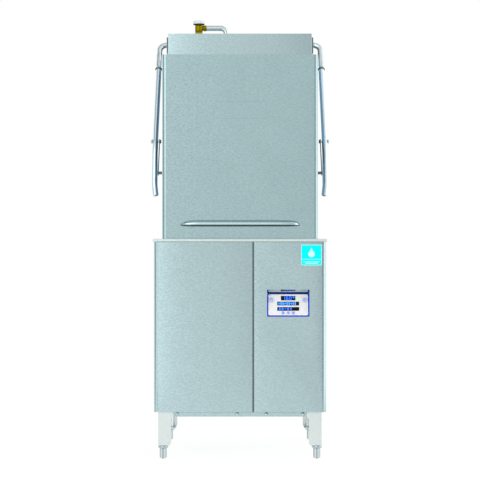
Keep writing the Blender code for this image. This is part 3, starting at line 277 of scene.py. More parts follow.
FINISHES = {
    brushed: {
        # Painted light falloff on the sheet and the hood: the cabinet's sheet is lighter low down and to the left,
        # the hood's sheet lighter to the left.
        "sheet": ((0.43, 0.565, 0.585), 0.2, 0.1, [("Z", 0.2, 0.86, 1.04, 0.955), ("X", -0.33, 0.33, 1.015, 0.975)]),
        "door_sheet": ((0.362, 0.496, 0.513), 0.2, 0.1),
        "emboss_sheet": ((0.33, 0.456, 0.474), 0.24, 0.08),
        "hood_sheet": ((0.418, 0.546, 0.566), 0.2, 0.1, [("X", -0.28, 0.28, 1.02, 0.96)]),
        "pale_steel": ((0.68, 0.748, 0.732), 0.36, 0.03),
        "tank": ((0.62, 0.71, 0.7), 0.36, 0.04),
        "inner_steel": ((0.48, 0.54, 0.555), 0.34, 0.05),
        # Painted shade: the brackets' steel, and the joint strip, are coloured near black for the shade they sit in.
        "bracket_steel": ((0.12, 0.16, 0.165), 0.36, 0.06),
    },
    polished: {
        "spring_steel": ((0.42, 0.48, 0.49), 0.24),
        "bright_tube": ((0.58, 0.67, 0.69), 0.28),
        "foot_steel": ((0.43, 0.55, 0.59), 0.24),
        "bolt_steel": ((0.52, 0.6, 0.61), 0.2),
        "chrome_pipe": ((0.56, 0.64, 0.65), 0.12),
        # Colour of the rail's painted shadow line under the front panels.
        "seam_steel": ((0.17, 0.25, 0.265), 0.34),
        "dark_steel": ((0.09, 0.12, 0.135), 0.3),
        "brass": ((0.27, 0.205, 0.002), 0.42, 0.08),
        "bronze": ((0.38, 0.26, 0.09), 0.3, 0.15),
        "box_plastic": ((0.43, 0.55, 0.575), 0.14),
    },
    # Painted reflection on the arms and the feet, painted shade and highlight on the grip.
    painted_reflection_metal: {
        "arm_left": ((0.66, 0.75, 0.78), ARM_PAINTED_REFLECTION),
        "arm_right": ((0.66, 0.75, 0.78), ARM_PAINTED_REFLECTION, 0.3, -1.0),
        "foot_bar": ((0.64, 0.73, 0.74), FOOT_PAINTED_REFLECTION, 0.22),
        "bright_handle": ((0.47, 0.61, 0.64), GRIP_PAINTED_SHADE, 0.24, 1.0, "Z"),
    },
    plastic: {
        # Painted shade: recess_wall is a dark navy for the shaded walls of the display's recess.
        "recess_wall": ((0.01, 0.016, 0.06), 0.4, 0.05, 900.0, 0.2),
        "cap_plastic": ((0.74, 0.8, 0.79), 0.4, 0.015),
        "rubber": ((0.02, 0.024, 0.028), 0.6, 0.06, 500.0),
        "display_face": ((0.8, 0.82, 0.84), 0.34, 0.015),
        "display_edge": ((0.9, 0.91, 0.76), 0.34, 0.015),
        "display_frame": ((0.006, 0.04, 0.85), 0.36, 0.05, 900.0, 0.05),
        "key_plastic": ((0.69, 0.73, 0.9), 0.36, 0.02),
        "icon_blue": ((0.13, 0.17, 0.74), 0.38, 0.04),
        "icon_pale": ((0.42, 0.47, 0.9), 0.38, 0.04),
        "window_black": ((0.002, 0.002, 0.004), 0.42, 0.02, 1200.0, 0.12),
        "label_cyan": ((0.0, 0.95, 0.98), 0.5, 0.02, 1500.0, 0.06),
        "label_white": ((0.62, 0.93, 0.96), 0.5, 0.02, 1500.0, 0.06),
        "label_border": ((0.7, 0.64, 0.66), 0.5, 0.02, 1500.0, 0.06),
    },
    cast: {
        "pump_iron": ((0.06, 0.075, 0.085),),
        "motor_paint": ((0.15, 0.18, 0.21), 0.45, 0.0),
    },
    glowing: {
        "segment_blue": ((0.02, 0.18, 1.0), 1.3),
        "segment_ice": ((0.05, 0.28, 1.0), 1.2),
        "led_green": ((0.26, 0.95, 0.02), 1.3),
    },
}
MATERIALS = {name: make(name, *values) for make, table in FINISHES.items() for name, values in table.items()}

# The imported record's slots that have no finish of the same name above.
SLOT_FINISH = {"button_plastic": "key_plastic", "display_plastic": "display_face"}

for piece in NODES.values():
    for place in piece.material_slots:
        slot_name = place.material.name.split(".")[0]
        place.material = MATERIALS[SLOT_FINISH.get(slot_name, slot_name)]
NODES["pump_impeller"].material_slots[0].material = MATERIALS["bronze"]

# ---- points and outlines


def arc(centre, radius, start, end, steps):
    """Points on an arc, angles in degrees, both ends included."""
    points = []
    for index in range(steps + 1):
        angle = radians(start + (end - start) * index / steps)
        points.append((centre[0] + radius * cos(angle), centre[1] + radius * sin(angle)))
    return points


def hexagon(x, y, radius):
    return arc((x, y), radius, 0.0, 300.0, 5)


def between(first, second):
    return (min(first, second), max(first, second))


def middle_of(name):
    low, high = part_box(name)
    return (low + high) / 2.0


def rounded_box(x, y, half_width, half_height, corner, steps=8):
    outline = []
    for start, sign_x, sign_y in ((0.0, 1, 1), (90.0, -1, 1), (180.0, -1, -1), (270.0, 1, -1)):
        centre = (x + sign_x * (half_width - corner), y + sign_y * (half_height - corner))
        outline += arc(centre, corner, start, start + 90.0, steps)
    return outline


def strip_outline(path, thickness):
    """Outline of a sheet of constant thickness on the left of a path."""
    inner = []
    for index, point in enumerate(path):
        here = Vector(point)
        normals = []
        if index > 0:
            step = (here - Vector(path[index - 1])).normalized()
            normals.append(Vector((-step.y, step.x)))
        if index < len(path) - 1:
            step = (Vector(path[index + 1]) - here).normalized()
            normals.append(Vector((-step.y, step.x)))
        middle = sum(normals, Vector((0.0, 0.0))).normalized()
        offset = here + middle * (thickness / middle.dot(normals[0]))
        inner.append((offset.x, offset.y))
    return list(path) + inner[::-1]


def rounded_route(points, radius, steps=8):
    """Straight runs joined by bends of one radius."""
    route = [Vector(points[0])]
    for before, corner, after in zip(points, points[1:], points[2:]):
        corner = Vector(corner)
        to_before = (Vector(before) - corner).normalized()
        to_after = (Vector(after) - corner).normalized()
        half_angle = to_before.angle(to_after) / 2.0
        centre = corner + (to_before + to_after).normalized() * (radius / sin(half_angle))
        start = corner + to_before * (radius / tan(half_angle)) - centre
        end = corner + to_after * (radius / tan(half_angle)) - centre
        sweep = start.angle(end)
        for index in range(steps + 1):
            turn = sweep * index / steps
            route.append(centre + (start * sin(sweep - turn) + end * sin(turn)) / sin(sweep))
    route.append(Vector(points[-1]))
    return route


# ---- making pieces


def new_object(name, data):
    made = bpy.data.objects.new(name, data)
    bpy.context.scene.collection.objects.link(made)
    return made


def mesh_from(name, bm):
    mesh = bpy.data.meshes.new(name)
    bm.to_mesh(mesh)
    bm.free()
    return mesh


def make_piece(name, bm, finish, body="machine", replaced=(), slot=None, bevel=0.0, angle=35.0, matrix=None):
    """A finished piece from a bmesh in world coordinates: shading, fine edges and body; the slot argument is not
    used.
    """
    bmesh.ops.recalc_face_normals(bm, faces=bm.faces)
    if matrix is not None:
        bm.transform(matrix)
    mesh = mesh_from(name, bm)
    mesh.shade_smooth()
    mesh.set_sharp_from_angle(angle=radians(angle))
    mesh.materials.append(MATERIALS[finish])
    made = new_object(name, mesh)
    if bevel > 0.0:
        modifier = made.modifiers.new("fine_edge", "BEVEL")
        modifier.width = bevel
        modifier.segments = 2
        modifier.limit_method = "ANGLE"
        modifier.angle_limit = radians(40.0)
        modifier.harden_normals = True
    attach(made, body)
    if replaced:
        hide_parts(*replaced)
    return made


def add_prism(bm, outline, axis, span):
    """Push an outline along an axis: (y, z) along X, (x, z) along Y, (x, y) along Z."""
    def world(point, along):
        if axis == "X":
            return Vector((along, point[0], point[1]))
        if axis == "Y":
            return Vector((point[0], along, point[1]))
        return Vector((point[0], point[1], along))

    low = [bm.verts.new(world(point, span[0])) for point in outline]
    high = [bm.verts.new(world(point, span[1])) for point in outline]
    bm.faces.new(low)
    bm.faces.new(high[::-1])
    for index in range(len(outline)):
        following = (index + 1) % len(outline)
        bm.faces.new((low[index], low[following], high[following], high[index]))
    return low + high


def add_block(bm, x, y, z):
    return add_prism(bm, [(x[0], y[0]), (x[1], y[0]), (x[1], y[1]), (x[0], y[1])], "Z", z)


def add_turned(bm, profile, centre, axis="Z", sides=40):
    """Turn a profile of (radius, distance along the axis) about an axis through a centre."""
    rings = []
    for radius, along in profile:
        ring = []
        for index in range(1 if radius == 0.0 else sides):
            angle = tau * index / sides
            u, v = radius * cos(angle), radius * sin(angle)
            offset = {"X": (along, u, v), "Y": (u, along, v), "Z": (u, v, along)}[axis]
            ring.append(bm.verts.new(Vector(centre) + Vector(offset)))
        rings.append(ring)
    closed = profile[0][0] > 0.0 and profile[-1][0] > 0.0
    pairs = list(zip(rings, rings[1:]))
    if closed:
        pairs.append((rings[-1], rings[0]))
    for first, second in pairs:
        for index in range(sides):
            following = (index + 1) % sides
            corners = []
            for ring, place in ((first, index), (first, following), (second, following), (second, index)):
                vert = ring[place % len(ring)]
                if vert not in corners:
                    corners.append(vert)
            if len(corners) > 2:
                bm.faces.new(corners)
    return [vert for ring in rings for vert in ring]


def add_tube(bm, route, radius, sides=20, radii=None):
    """A round bar along a route, with flat ends."""
    route = [Vector(point) for point in route]
    heading = (route[1] - route[0]).normalized()
    side = heading.orthogonal().normalized()
    rings = []
    for index, point in enumerate(route):
        before = route[max(index - 1, 0)]
        after = route[min(index + 1, len(route) - 1)]
        direction = (after - before).normalized()
        side = (side - direction * side.dot(direction)).normalized()
        up = direction.cross(side)
        size = radii[index] if radii else radius
        rings.append([bm.verts.new(point + (side * cos(tau * k / sides)
                                            + up * sin(tau * k / sides)) * size)
                      for k in range(sides)])
    for first, second in zip(rings, rings[1:]):
        for k in range(sides):
            bm.faces.new((first[k], first[(k + 1) % sides], second[(k + 1) % sides], second[k]))
    bm.faces.new(rings[0][::-1])
    bm.faces.new(rings[-1])


def add_screw(bm, centre, axis, direction, radius=0.0045, height=0.0022, sides=20):
    """A low round head with a hexagon socket; direction is the side it stands out to."""
    rise = direction * height
    profile = [(radius, 0.0), (radius, rise * 0.35), (radius * 0.86, rise * 0.8), (radius * 0.62, rise)]
    profile += [(radius * 0.42, rise), (radius * 0.36, rise * 0.35), (0.0, rise * 0.35)]
    profile.insert(0, (0.0, 0.0))
    add_turned(bm, profile, centre, axis, sides)


def turned_piece(name, profile, centre, axis, finish, body="machine", sides=48, **settings):
    bm = bmesh.new()
    add_turned(bm, profile, centre, axis, sides)
    return make_piece(name, bm, finish, body, **settings)


def prism_piece(name, outline, axis, span, finish, body="machine", **settings):
    bm = bmesh.new()
    add_prism(bm, outline, axis, span)
    return make_piece(name, bm, finish, body, **settings)


def block_piece(name, x, y, z, finish, **settings):
    outline = [(x[0], y[0]), (x[1], y[0]), (x[1], y[1]), (x[0], y[1])]
    return prism_piece(name, outline, "Z", z, finish, **settings)


def tube_piece(name, route, radius, finish, body="machine", sides=32, radii=None, angle=50.0, **settings):
    bm = bmesh.new()
    add_tube(bm, route, radius, sides, radii)
    return make_piece(name, bm, finish, body, angle=angle, **settings)


def screws_piece(name, centres, axis, direction, radius, height, slot="sheet"):
    bm = bmesh.new()
    for centre in centres:
        add_screw(bm, centre, axis, direction, radius, height)
    make_piece(name, bm, "foot_steel", slot=slot)


# ---- base cabinet


def make_side_panels():
    """Side panels: one sheet that rounds the front corner, with a hem at the back and small screws below."""
    for side_name, side in SIDES:
        low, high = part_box(side_name + "_side_panel")
        outer = max(abs(low.x), abs(high.x))
        inner = min(abs(low.x), abs(high.x))
        radius = CORNER_RADIUS
        corner = (outer - radius, low.y + radius)
        path = [(inner + SHEET, high.y), (outer - 0.002, high.y)]
        path += arc((outer - 0.002, high.y - 0.002), 0.002, 90.0, 0.0, 4)[1:]
        edge = inner + HAIR
        path += arc(corner, radius, 0.0, -90.0 + degrees(asin((edge - corner[0]) / radius)), 14)
        path += [(edge, low.y + 0.012)]
        outline = strip_outline([(side * x, y) for x, y in path], -side * SHEET)
        prism_piece(side_name + "_side_skin", outline, "Z", (low.z, high.z), "sheet",
                    replaced=[side_name + "_side_panel"], slot="sheet", bevel=0.0004)
        centres = [(side * outer, FRONT + share * 0.62, 0.205) for share in (0.12, 0.5, 0.88)]
        screws_piece(side_name + "_side_screws", centres, "X", side, 0.0045, 0.002)


def make_front_panel(name, window=None):
    """Pan with soft outer edges; the right one has the display's window cut through its skin."""
    low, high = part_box(name)
    radius = 0.0006
    left, right = low.x, high.x
    path = [(left, high.y)] + arc((left + radius, low.y + radius), radius, 180.0, 270.0, 5)
    path += arc((right - radius, low.y + radius), radius, 270.0, 360.0, 5) + [(right, high.y)]
    skin = prism_piece(name + "_skin", strip_outline(path, SHEET), "Z", (low.z + 0.0001, high.z - 0.0001),
                       "sheet", replaced=[name], slot="sheet", bevel=0.0004)
    bm = bmesh.new()
    for z in ((low.z + 0.0002, low.z + SHEET), (high.z - SHEET, high.z - 0.0002)):
        add_block(bm, (left + 0.0017, right - 0.0017), (low.y + SHEET + 0.0001, high.y), z)
    make_piece(name + "_returns", bm, "sheet", slot="sheet")
    if window is not None:
        bm = bmesh.new()
        add_block(bm, window[0], (low.y - 0.01, low.y + 0.01), window[1])
        apply_cut(skin, bm)


def make_joint_strip():
    """Strip behind the gap between the two front panels, coloured dark as painted shade for the gap."""
    left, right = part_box("front_panel_left"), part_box("front_panel_right")
    block_piece("joint_strip", (left[1].x + HAIR, right[0].x - HAIR), (FRONT + 0.003, FRONT + 0.0045),
                (left[0].z + 0.001, left[1].z - 0.001), "bracket_steel", slot="sheet", bevel=0.0002)


def apply_cut(target, bm):
    """Subtract a bmesh's shape for good, before the fine-edge bevel."""
    bmesh.ops.recalc_face_normals(bm, faces=bm.faces)
    cutter = new_object("cutter", mesh_from("cutter", bm))
    modifier = target.modifiers.new("cut", "BOOLEAN")
    modifier.object = cutter
    target.modifiers.move(len(target.modifiers) - 1, 0)
    bpy.context.view_layer.objects.active = target
    with bpy.context.temp_override(object=target, active_object=target):
        bpy.ops.object.modifier_apply(modifier="cut")
    bpy.data.objects.remove(cutter, do_unlink=True)


def make_rail_bolts():
    """Round-head bolts in the bottom rail, each on a washer."""
    rail_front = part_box("base_frame")[0].y + 0.0035
    bm = bmesh.new()
    for x in (-0.246, -0.011, 0.103, 0.247):
        profile = [(0.0, 0.0), (0.0074, 0.0), (0.0074, -0.0008), (0.0066, -0.0026), (0.0045, -0.0042)]
        profile += [(0.0022, -0.0046), (0.0, -0.0047)]
        add_turned(bm, profile, (x, rail_front - HAIR, 0.1755), "Y", 28)
    make_piece("rail_bolts", bm, "bolt_steel", slot="pale_steel")
    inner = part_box("leg_front_right")[0].x - 0.0005
    # Painted shadow: a dark line along the rail's top for the shade under the front panels.
    block_piece("rail_shadow_line", (-inner, inner), (rail_front - 0.0012, rail_front - HAIR), (0.1826, 0.1848),
                "seam_steel", slot="sheet")


def make_legs():
    """Folded legs: wide at the top, stepped in below the rail, with a rounded lower corner."""
    for end in ("front", "rear"):
        for side_name, side in SIDES:
            name = "leg_%s_%s" % (end, side_name)
            low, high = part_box(name)
            outer = max(abs(low.x), abs(high.x))
            inner = min(abs(low.x), abs(high.x))
            face = low.y if end == "front" else high.y
            inward = 1 if end == "front" else -1
            bm = bmesh.new()
            step = inner + 0.0075
            plate = [(outer - 0.003, low.z), (step + 0.012, low.z)]
            plate += [(x, z) for x, z in arc((step + 0.012, low.z + 0.012), 0.012, 270.0, 180.0, 6)][1:]
            plate += [(step, low.z + 0.105), (inner + 0.0005, low.z + 0.1115), (inner, high.z)]
            plate = [(side * x, z) for x, z in plate + [(outer - 0.003, high.z)]]
            add_prism(bm, plate, "Y", between(face, face + inward * 0.003))
            fold = 0.0032
            path = [(outer - fold, face)]
            bend = arc((outer - fold, 0.0), fold, -72.0, 0.0, 4)
            path += [(x, face + inward * (fold + y)) for x, y in bend]
            path += [(outer, face + inward * 0.0615)]
            path = [(side * x, y) for x, y in path]
            add_prism(bm, strip_outline(path, 0.003 * side * inward), "Z", (low.z, high.z))
            add_block(bm, between(side * (step + 0.004), side * (outer - 0.0032)),
                      between(face + inward * 0.0032, face + inward * 0.06), (low.z, low.z + 0.004))
            centre = (*middle_of("foot_%s_%s" % (end, side_name)).xy, 0.0)
            socket = [(0.009, low.z + 0.0045), (0.0155, low.z + 0.0045), (0.0155, 0.113), (0.0145, 0.115),
                      (0.01, 0.115), (0.009, 0.113)]
            add_turned(bm, socket, centre, "Z", 32)
            make_piece(name + "_plate", bm, "pale_steel", replaced=[name], slot="pale_steel", bevel=0.0006)


def make_feet():
    """Bullet feet: threaded stem, conical flange, polished shank and a round toe."""
    for end in ("front", "rear"):
        for side_name, side in SIDES:
            name = "foot_%s_%s" % (end, side_name)
            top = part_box(name)[1].z
            centre = (*middle_of(name).xy, 0.0)
            profile = [(0.0, 0.0), (0.007, 0.0), (0.0092, 0.0006), (0.0112, 0.0019), (0.0127, 0.004),
                       (0.0136, 0.0068), (0.0137, 0.01), (0.0137, 0.0398), (0.007, 0.04), (0.007, 0.052)]
            turns = 22
            for index in range(turns):
                z = 0.054 + (top - 0.002 - 0.054) * index / turns
                profile += [(0.0073, z), (0.008, z + 0.0011)]
            profile += [(0.007, top - 0.0005), (0.0, top)]
            # foot_bar paints light and dark reflection bands down the shank.
            turned_piece(name + "_turned", profile, centre, "Z", "foot_bar", name, 40,
                         replaced=[name], slot="pale_steel")
            flange = [(0.0082, 0.0401), (0.0142, 0.04), (0.0195, 0.0436), (0.02, 0.0446), (0.02, 0.0505),
                      (0.0194, 0.0515), (0.0086, 0.0524), (0.0082, 0.052)]
            turned_piece(name + "_flange", flange, centre, "Z", "foot_steel", name, 40, slot="pale_steel")


# ---- display, keys and label


def display_matrix():
    """Local x to the right, y into the machine, z up the slope, from the middle of the lower edge."""
    low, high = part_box("display_panel")
    lean = asin(-DISPLAY_NORMAL.z)
    thickness = 0.008
    foot = Vector(((low.x + high.x) / 2.0, low.y, low.z + thickness * sin(lean)))
    height = (high.z - foot.z) / cos(lean)
    return Matrix.Translation(foot) @ Matrix.Rotation(-lean, 4, "X"), (high.x - low.x) / 2.0, height


SEGMENTS = {
    "0": "abcdef", "1": "bc", "2": "abged", "3": "abgcd", "4": "fgbc", "5": "afgcd", "6": "afgedc",
    "7": "abc", "8": "abcdefg", "-": "g", "=": "gd",
}


def add_digit(bm, character, x, z, width, height, stroke, front):
    """One seven-segment digit, its lower left corner at x, z."""
    half = height / 2.0
    bars = {
        "a": ((x, x + width), (z + height - stroke, z + height)),
        "b": ((x + width - stroke, x + width), (z + half, z + height)),
        "c": ((x + width - stroke, x + width), (z, z + half)),
        "d": ((x, x + width), (z, z + stroke)),
        "e": ((x, x + stroke), (z, z + half)),
        "f": ((x, x + stroke), (z + half, z + height)),
        "g": ((x, x + width), (z + half - stroke / 2.0, z + half + stroke / 2.0)),
    }
    for segment in SEGMENTS[character]:
        across, up = bars[segment]
        gap = stroke * 0.12
        add_block(bm, (across[0] + gap, across[1] - gap), (front - HAIR, front), (up[0] + gap, up[1] - gap))


def make_display():
    """Tray with a raised blue border, a pale margin and the printed sheet, all set in the tilted recess."""
    matrix, half, height = display_matrix()
    middle = height / 2.0

    def outline(inset, corner, up=0.0):
        return rounded_box(0.0, middle + up, half - inset, middle - inset, corner)

    settings = {"slot": "display_plastic", "matrix": matrix}
    border = 0.0046
    tray = prism_piece("display_tray", outline(0.0, 0.008), "Y", (0.0012, 0.008), "display_frame",
                       replaced=["display_panel"], **settings)
    bm = bmesh.new()
    ring_prism(bm, outline(0.0, 0.008), outline(border, 0.005), (-0.0008, 0.0012))
    make_piece("display_surround", bm, "display_frame", bevel=0.0003, **settings)
    margin = prism_piece("display_margin", outline(border + HAIR, 0.0048), "Y", (0.0002, 0.0012),
                         "display_edge", **settings)
    sheet = prism_piece("display_sheet", outline(border + 0.0045, 0.003, 0.001), "Y", (-0.0001, 0.0002),
                        "display_face", **settings)
    for piece in (tray, margin, sheet):
        apply_cut(piece, key_wells(matrix))
    # Painted shadow: a dark strip along the display's top edge for the shade in the gap above it.
    block_piece("display_shadow_line", (0.007 - half, half - 0.007), (-0.0012, -0.0009),
                (height - 0.003, height - 0.0003), "recess_wall", **settings)
    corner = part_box("display_panel")[1]
    # Painted shade: the recess's side wall is dark navy for the shade on it.
    block_piece("recess_cheek", (corner.x - 0.0026, corner.x - HAIR), (FRONT + 0.002, FRONT + 0.026),
                (corner.z + 0.0006, WINDOW_TOP - 0.0008), "recess_wall", slot="display_plastic", bevel=0.0003)
    make_windows(height, settings)
    make_keys(matrix, {"slot": "button_plastic", "matrix": matrix})


def ring_prism(bm, outer, inner, span):
    """A frame between two outlines with the same number of points."""
    rings = []
    for outline in (outer, inner):
        for y in span:
            rings.append([bm.verts.new((x, y, z)) for x, z in outline])
    outer_front, outer_back, inner_front, inner_back = rings
    for first, second in ((outer_front, outer_back), (outer_back, inner_back),
                          (inner_back, inner_front), (inner_front, outer_front)):
        for index in range(len(outer)):
            following = (index + 1) % len(outer)
            bm.faces.new((first[index], first[following], second[following], second[index]))


def make_windows(height, settings):
    """Three black windows with lit digits and bars, and a green lamp."""
    top, middle, bottom = height - 0.0199, height - 0.0417, height - 0.0631
    bm = bmesh.new()
    for z, width, tall in ((top, 0.057, 0.0178), (middle, 0.086, 0.015), (bottom, 0.086, 0.015)):
        add_prism(bm, rounded_box(0.0, z, width / 2.0, tall / 2.0, 0.0015, 3), "Y", (-0.0005, -0.0001))
    make_piece("display_windows", bm, "window_black", bevel=0.0002, **settings)
    front = -0.0005
    bm = bmesh.new()
    for index, character in enumerate("150"):
        add_digit(bm, character, -0.022 + index * 0.013, top - 0.0065, 0.0098, 0.013, 0.0026, front)
    ring_prism(bm, rounded_box(0.0215, top + 0.003, 0.0034, 0.0034, 0.0033, 4),
               rounded_box(0.0215, top + 0.003, 0.0014, 0.0014, 0.0013, 4), (front - HAIR, front))
    for index, character in enumerate("20-64"):
        add_digit(bm, character, -0.037 + index * 0.0108, bottom - 0.005, 0.0076, 0.01, 0.0021, front)
    make_piece("display_digits", bm, "segment_blue", **settings)
    bm = bmesh.new()
    for index in range(9):
        x = -0.0385 + index * 0.008
        half = 0.0052 if index % 3 else 0.0035
        add_block(bm, (x, x + 0.0048), (front - HAIR, front), (middle - half, middle + half))
    for index in range(5):
        x = -0.034 + index * 0.0108
        add_block(bm, (x, x + 0.0022), (front - 2.0 * HAIR, front - HAIR), (bottom - 0.0014, bottom + 0.0014))
    make_piece("display_bars", bm, "segment_ice", **settings)
    profile = [(0.0, 0.0), (0.0032, 0.0), (0.003, -0.0007), (0.0018, -0.0011), (0.0, -0.0012)]
    turned_piece("display_lamp", profile, (0.04, -0.0001, height - 0.0225), "Y", "led_green", sides=24,
                 **settings)


SQUARE_KEYS = ("power_button", "start_button")
KEYS = SQUARE_KEYS + ("menu_button", "up_button", "down_button")


def key_outline(name, matrix, grow=0.0):
    """Outline of a key on the display's face, and its middle."""
    middle = matrix.inverted() @ middle_of(name)
    if name in SQUARE_KEYS:
        size = (0.011 + grow, 0.01 + grow, 0.003 + grow)
    else:
        size = (0.0065 + grow, 0.0065 + grow, 0.0064 + grow)
    return rounded_box(middle.x, middle.z, *size), middle


def key_wells(matrix):
    """Wells for the keys, deep enough for their travel."""
    bm = bmesh.new()
    for name in KEYS:
        add_prism(bm, key_outline(name, matrix, 0.0003)[0], "Y", (-0.01, 0.0054))
    bm.transform(matrix)
    return bm


def make_keys(matrix, settings):
    """Key caps with plain symbols: a ring and a bar, a ring and a triangle, three bars, and two arrows."""
    film = (-0.0018, -0.0015)
    for name in KEYS:
        outline, middle = key_outline(name, matrix)
        finish = "key_plastic" if name in SQUARE_KEYS else "icon_pale"
        prism_piece(name + "_cap", outline, "Y", (-0.0015, 0.003), finish, name, replaced=[name],
                    bevel=0.0006, **settings)
        bm = bmesh.new()
        x, z = middle.x, middle.z
        if name in SQUARE_KEYS:
            outside, inside = (rounded_box(x, z, radius, radius, radius - 0.0001) for radius in (0.007, 0.0052))
            ring_prism(bm, outside, inside, film)
        if name == "power_button":
            add_block(bm, (x - 0.001, x + 0.001), film, (z - 0.0005, z + 0.0042))
        elif name == "start_button":
            add_prism(bm, [(x - 0.002, z - 0.0032), (x + 0.0034, z), (x - 0.002, z + 0.0032)], "Y", film)
        elif name == "menu_button":
            for offset in (-0.0022, 0.0, 0.0022):
                add_block(bm, (x - 0.003, x + 0.003), film, (z + offset - 0.0005, z + offset + 0.0005))
        else:
            base, tip = (0.002, 0.0028) if name == "up_button" else (-0.002, -0.0028)
            add_prism(bm, [(x - 0.0032, z - base), (x + 0.0032, z - base), (x, z + tip)], "Y", film)
        make_piece(name + "_symbol", bm, "icon_blue", name, **settings)


def make_label():
    """Square stick-on label with a droplet and plain bars."""
    x, z, half = 0.2797, 0.8003, 0.0412
    front = FRONT - HAIR
    inside = half - 0.0022
    prism_piece("label_border", rounded_box(x, z, half, half, 0.0015, 3), "Y", (front - HAIR, front),
                "label_border", slot="sheet")
    prism_piece("label_field", rounded_box(x, z, inside, inside, 0.001, 3), "Y",
                (front - 2 * HAIR, front - HAIR), "label_cyan", slot="sheet")
    bm = bmesh.new()
    drop = arc((x, z + 0.004), 0.0125, -210.0, 30.0, 20) + [(x + 0.0045, z + 0.0175), (x, z + 0.029)]
    drop += [(x - 0.0045, z + 0.0175)]
    add_prism(bm, drop, "Y", (front - 3 * HAIR, front - 2 * HAIR))
    for height, half_length in ((-0.0165, 0.0365), (-0.0262, 0.032), (-0.032, 0.0245)):
        tall = 0.0022 if height < -0.02 else 0.0012
        add_block(bm, (x - half_length, x + half_length), (front - 3 * HAIR, front - 2 * HAIR),
                  (z + height - tall / 2.0, z + height + tall / 2.0))
    make_piece("label_marks", bm, "label_white", slot="sheet")


# ---- doors


def make_doors():
    """The front door's skin with its plain raised plate and the grip; the side doors keep their shape."""
    low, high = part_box("front_door")
    face = low.y + 0.0006
    half = high.x
    radius = 0.0155
    path = [(-half, high.y)] + arc((-half + radius, face + radius), radius, 180.0, 270.0, 14)
    path += arc((half - radius, face + radius), radius, 270.0, 360.0, 14) + [(half, high.y)]
    prism_piece("front_door_skin", strip_outline(path, SHEET), "Z", (low.z, high.z), "door_sheet", "doors",
                replaced=["front_door"], slot="door_sheet", bevel=0.0004)
    plate_z, back = 1.372, face - 0.00005
    bm = bmesh.new()
    ring_prism(bm, rounded_box(0.0, plate_z, 0.104, 0.0345, 0.008),
               rounded_box(0.0, plate_z, 0.1015, 0.032, 0.0055), (face - 0.0006, back))
    make_piece("door_plate_border", bm, "emboss_sheet", "doors", slot="door_sheet", bevel=0.0002)
    prism_piece("door_plate", rounded_box(0.0, plate_z, 0.09, 0.021, 0.006), "Y", (face - 0.0004, back),
                "door_sheet", "doors", slot="door_sheet", bevel=0.0003)
    make_handle(face)


def make_hood():
    """Hood with crisp upright corners: four walls and a top."""
    low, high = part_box("hood_shell")
    y, half_depth = (low.y + high.y) / 2.0, (high.y - low.y) / 2.0
    outer = rounded_box(0.0, y, high.x, half_depth, 0.0022, 5)
    inner = rounded_box(0.0, y, high.x - SHEET, half_depth - SHEET, 0.0007, 5)
    bm = bmesh.new()
    add_ring(bm, outer, inner, (low.z, high.z - SHEET))
    add_prism(bm, outer, "Z", (high.z - SHEET, high.z))
    bmesh.ops.remove_doubles(bm, verts=bm.verts, dist=0.00001)
    make_piece("hood_skin", bm, "hood_sheet", replaced=["hood_shell"], slot="hood_sheet", bevel=0.0004)


def add_ring(bm, outer, inner, span):
    """Upright walls between two outlines with the same number of points."""
    flat = bmesh.new()
    ring_prism(flat, outer, inner, span)
    for vert in flat.verts:
        x, z, y = vert.co
        vert.co = (x, y, z)
    mesh = mesh_from("ring", flat)
    bm.from_mesh(mesh)
    bpy.data.meshes.remove(mesh)


def make_handle(face):
    """Formed grip: a full round bulge over an open underside, drawn out to a point at each end."""
    low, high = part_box("door_handle")
    half, reach, tall = high.x, face - low.y, high.z - low.z
    shell = 0.0022
    steps = 44
    pinch = tall * 0.22                # height above the lower edge of the points at the ends
    bm = bmesh.new()
    rings = []
    for index in range(steps + 1):
        x = -half + 2.0 * half * index / steps
        swell = max(1.0 - (abs(x) / half) ** 9, 0.0) ** 0.5
        ring = []
        for out, z in handle_section(reach, tall, shell):
            depth = face - 0.0003 - out * (0.06 + 0.94 * swell)
            ring.append(bm.verts.new((x, depth, low.z + pinch + (z - pinch) * (0.3 + 0.7 * swell))))
        rings.append(ring)
    for first, second in zip(rings, rings[1:]):
        for index in range(len(first)):
            following = (index + 1) % len(first)
            bm.faces.new((first[index], first[following], second[following], second[index]))
    bm.faces.new(rings[0])
    bm.faces.new(rings[-1][::-1])
    # bright_handle paints shade under the grip and a highlight across its front.
    make_piece("grip_bar", bm, "bright_handle", "doors", ["door_handle"], "bright_tube", angle=50.0)


def handle_section(reach, tall, shell):
    """Section of the grip as (distance out of the door, height above its lower edge)."""
    middle = tall * 0.4
    outer, inner = [], []
    for turn in range(0, 151, 10):
        along, across = sin(radians(turn)), cos(radians(turn))
        height = tall - middle if turn <= 90 else middle
        outer.append((reach * along, middle + height * across))
        inner.append(((reach - shell) * along, middle + (height - shell) * across))
    return outer + inner[::-1]


# ---- lift linkage

TUBE_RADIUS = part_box("cross_tube")[1].z - PIVOT.z
ARM_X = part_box("lift_arm_right")[1].x - TUBE_RADIUS          # the arms' widest place, just below the bolts
ARM_LENGTH = (Vector((BOLT.y, BOLT.z)) - Vector((PIVOT.y, PIVOT.z))).length
ARM_BEND_AT = ARM_LENGTH + 0.03
SLEEVE = (0.0543, 0.1262)          # along the arm, from the pivot
STUB_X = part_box("cross_tube")[1].x - TUBE_RADIUS
ARM_TOP_X = ARM_X - (ARM_X - STUB_X) * ARM_BEND_AT / (ARM_BEND_AT - SLEEVE[0])
ARM_TIP = Vector((0.3465, BOLT.y - 0.055, 1.04))


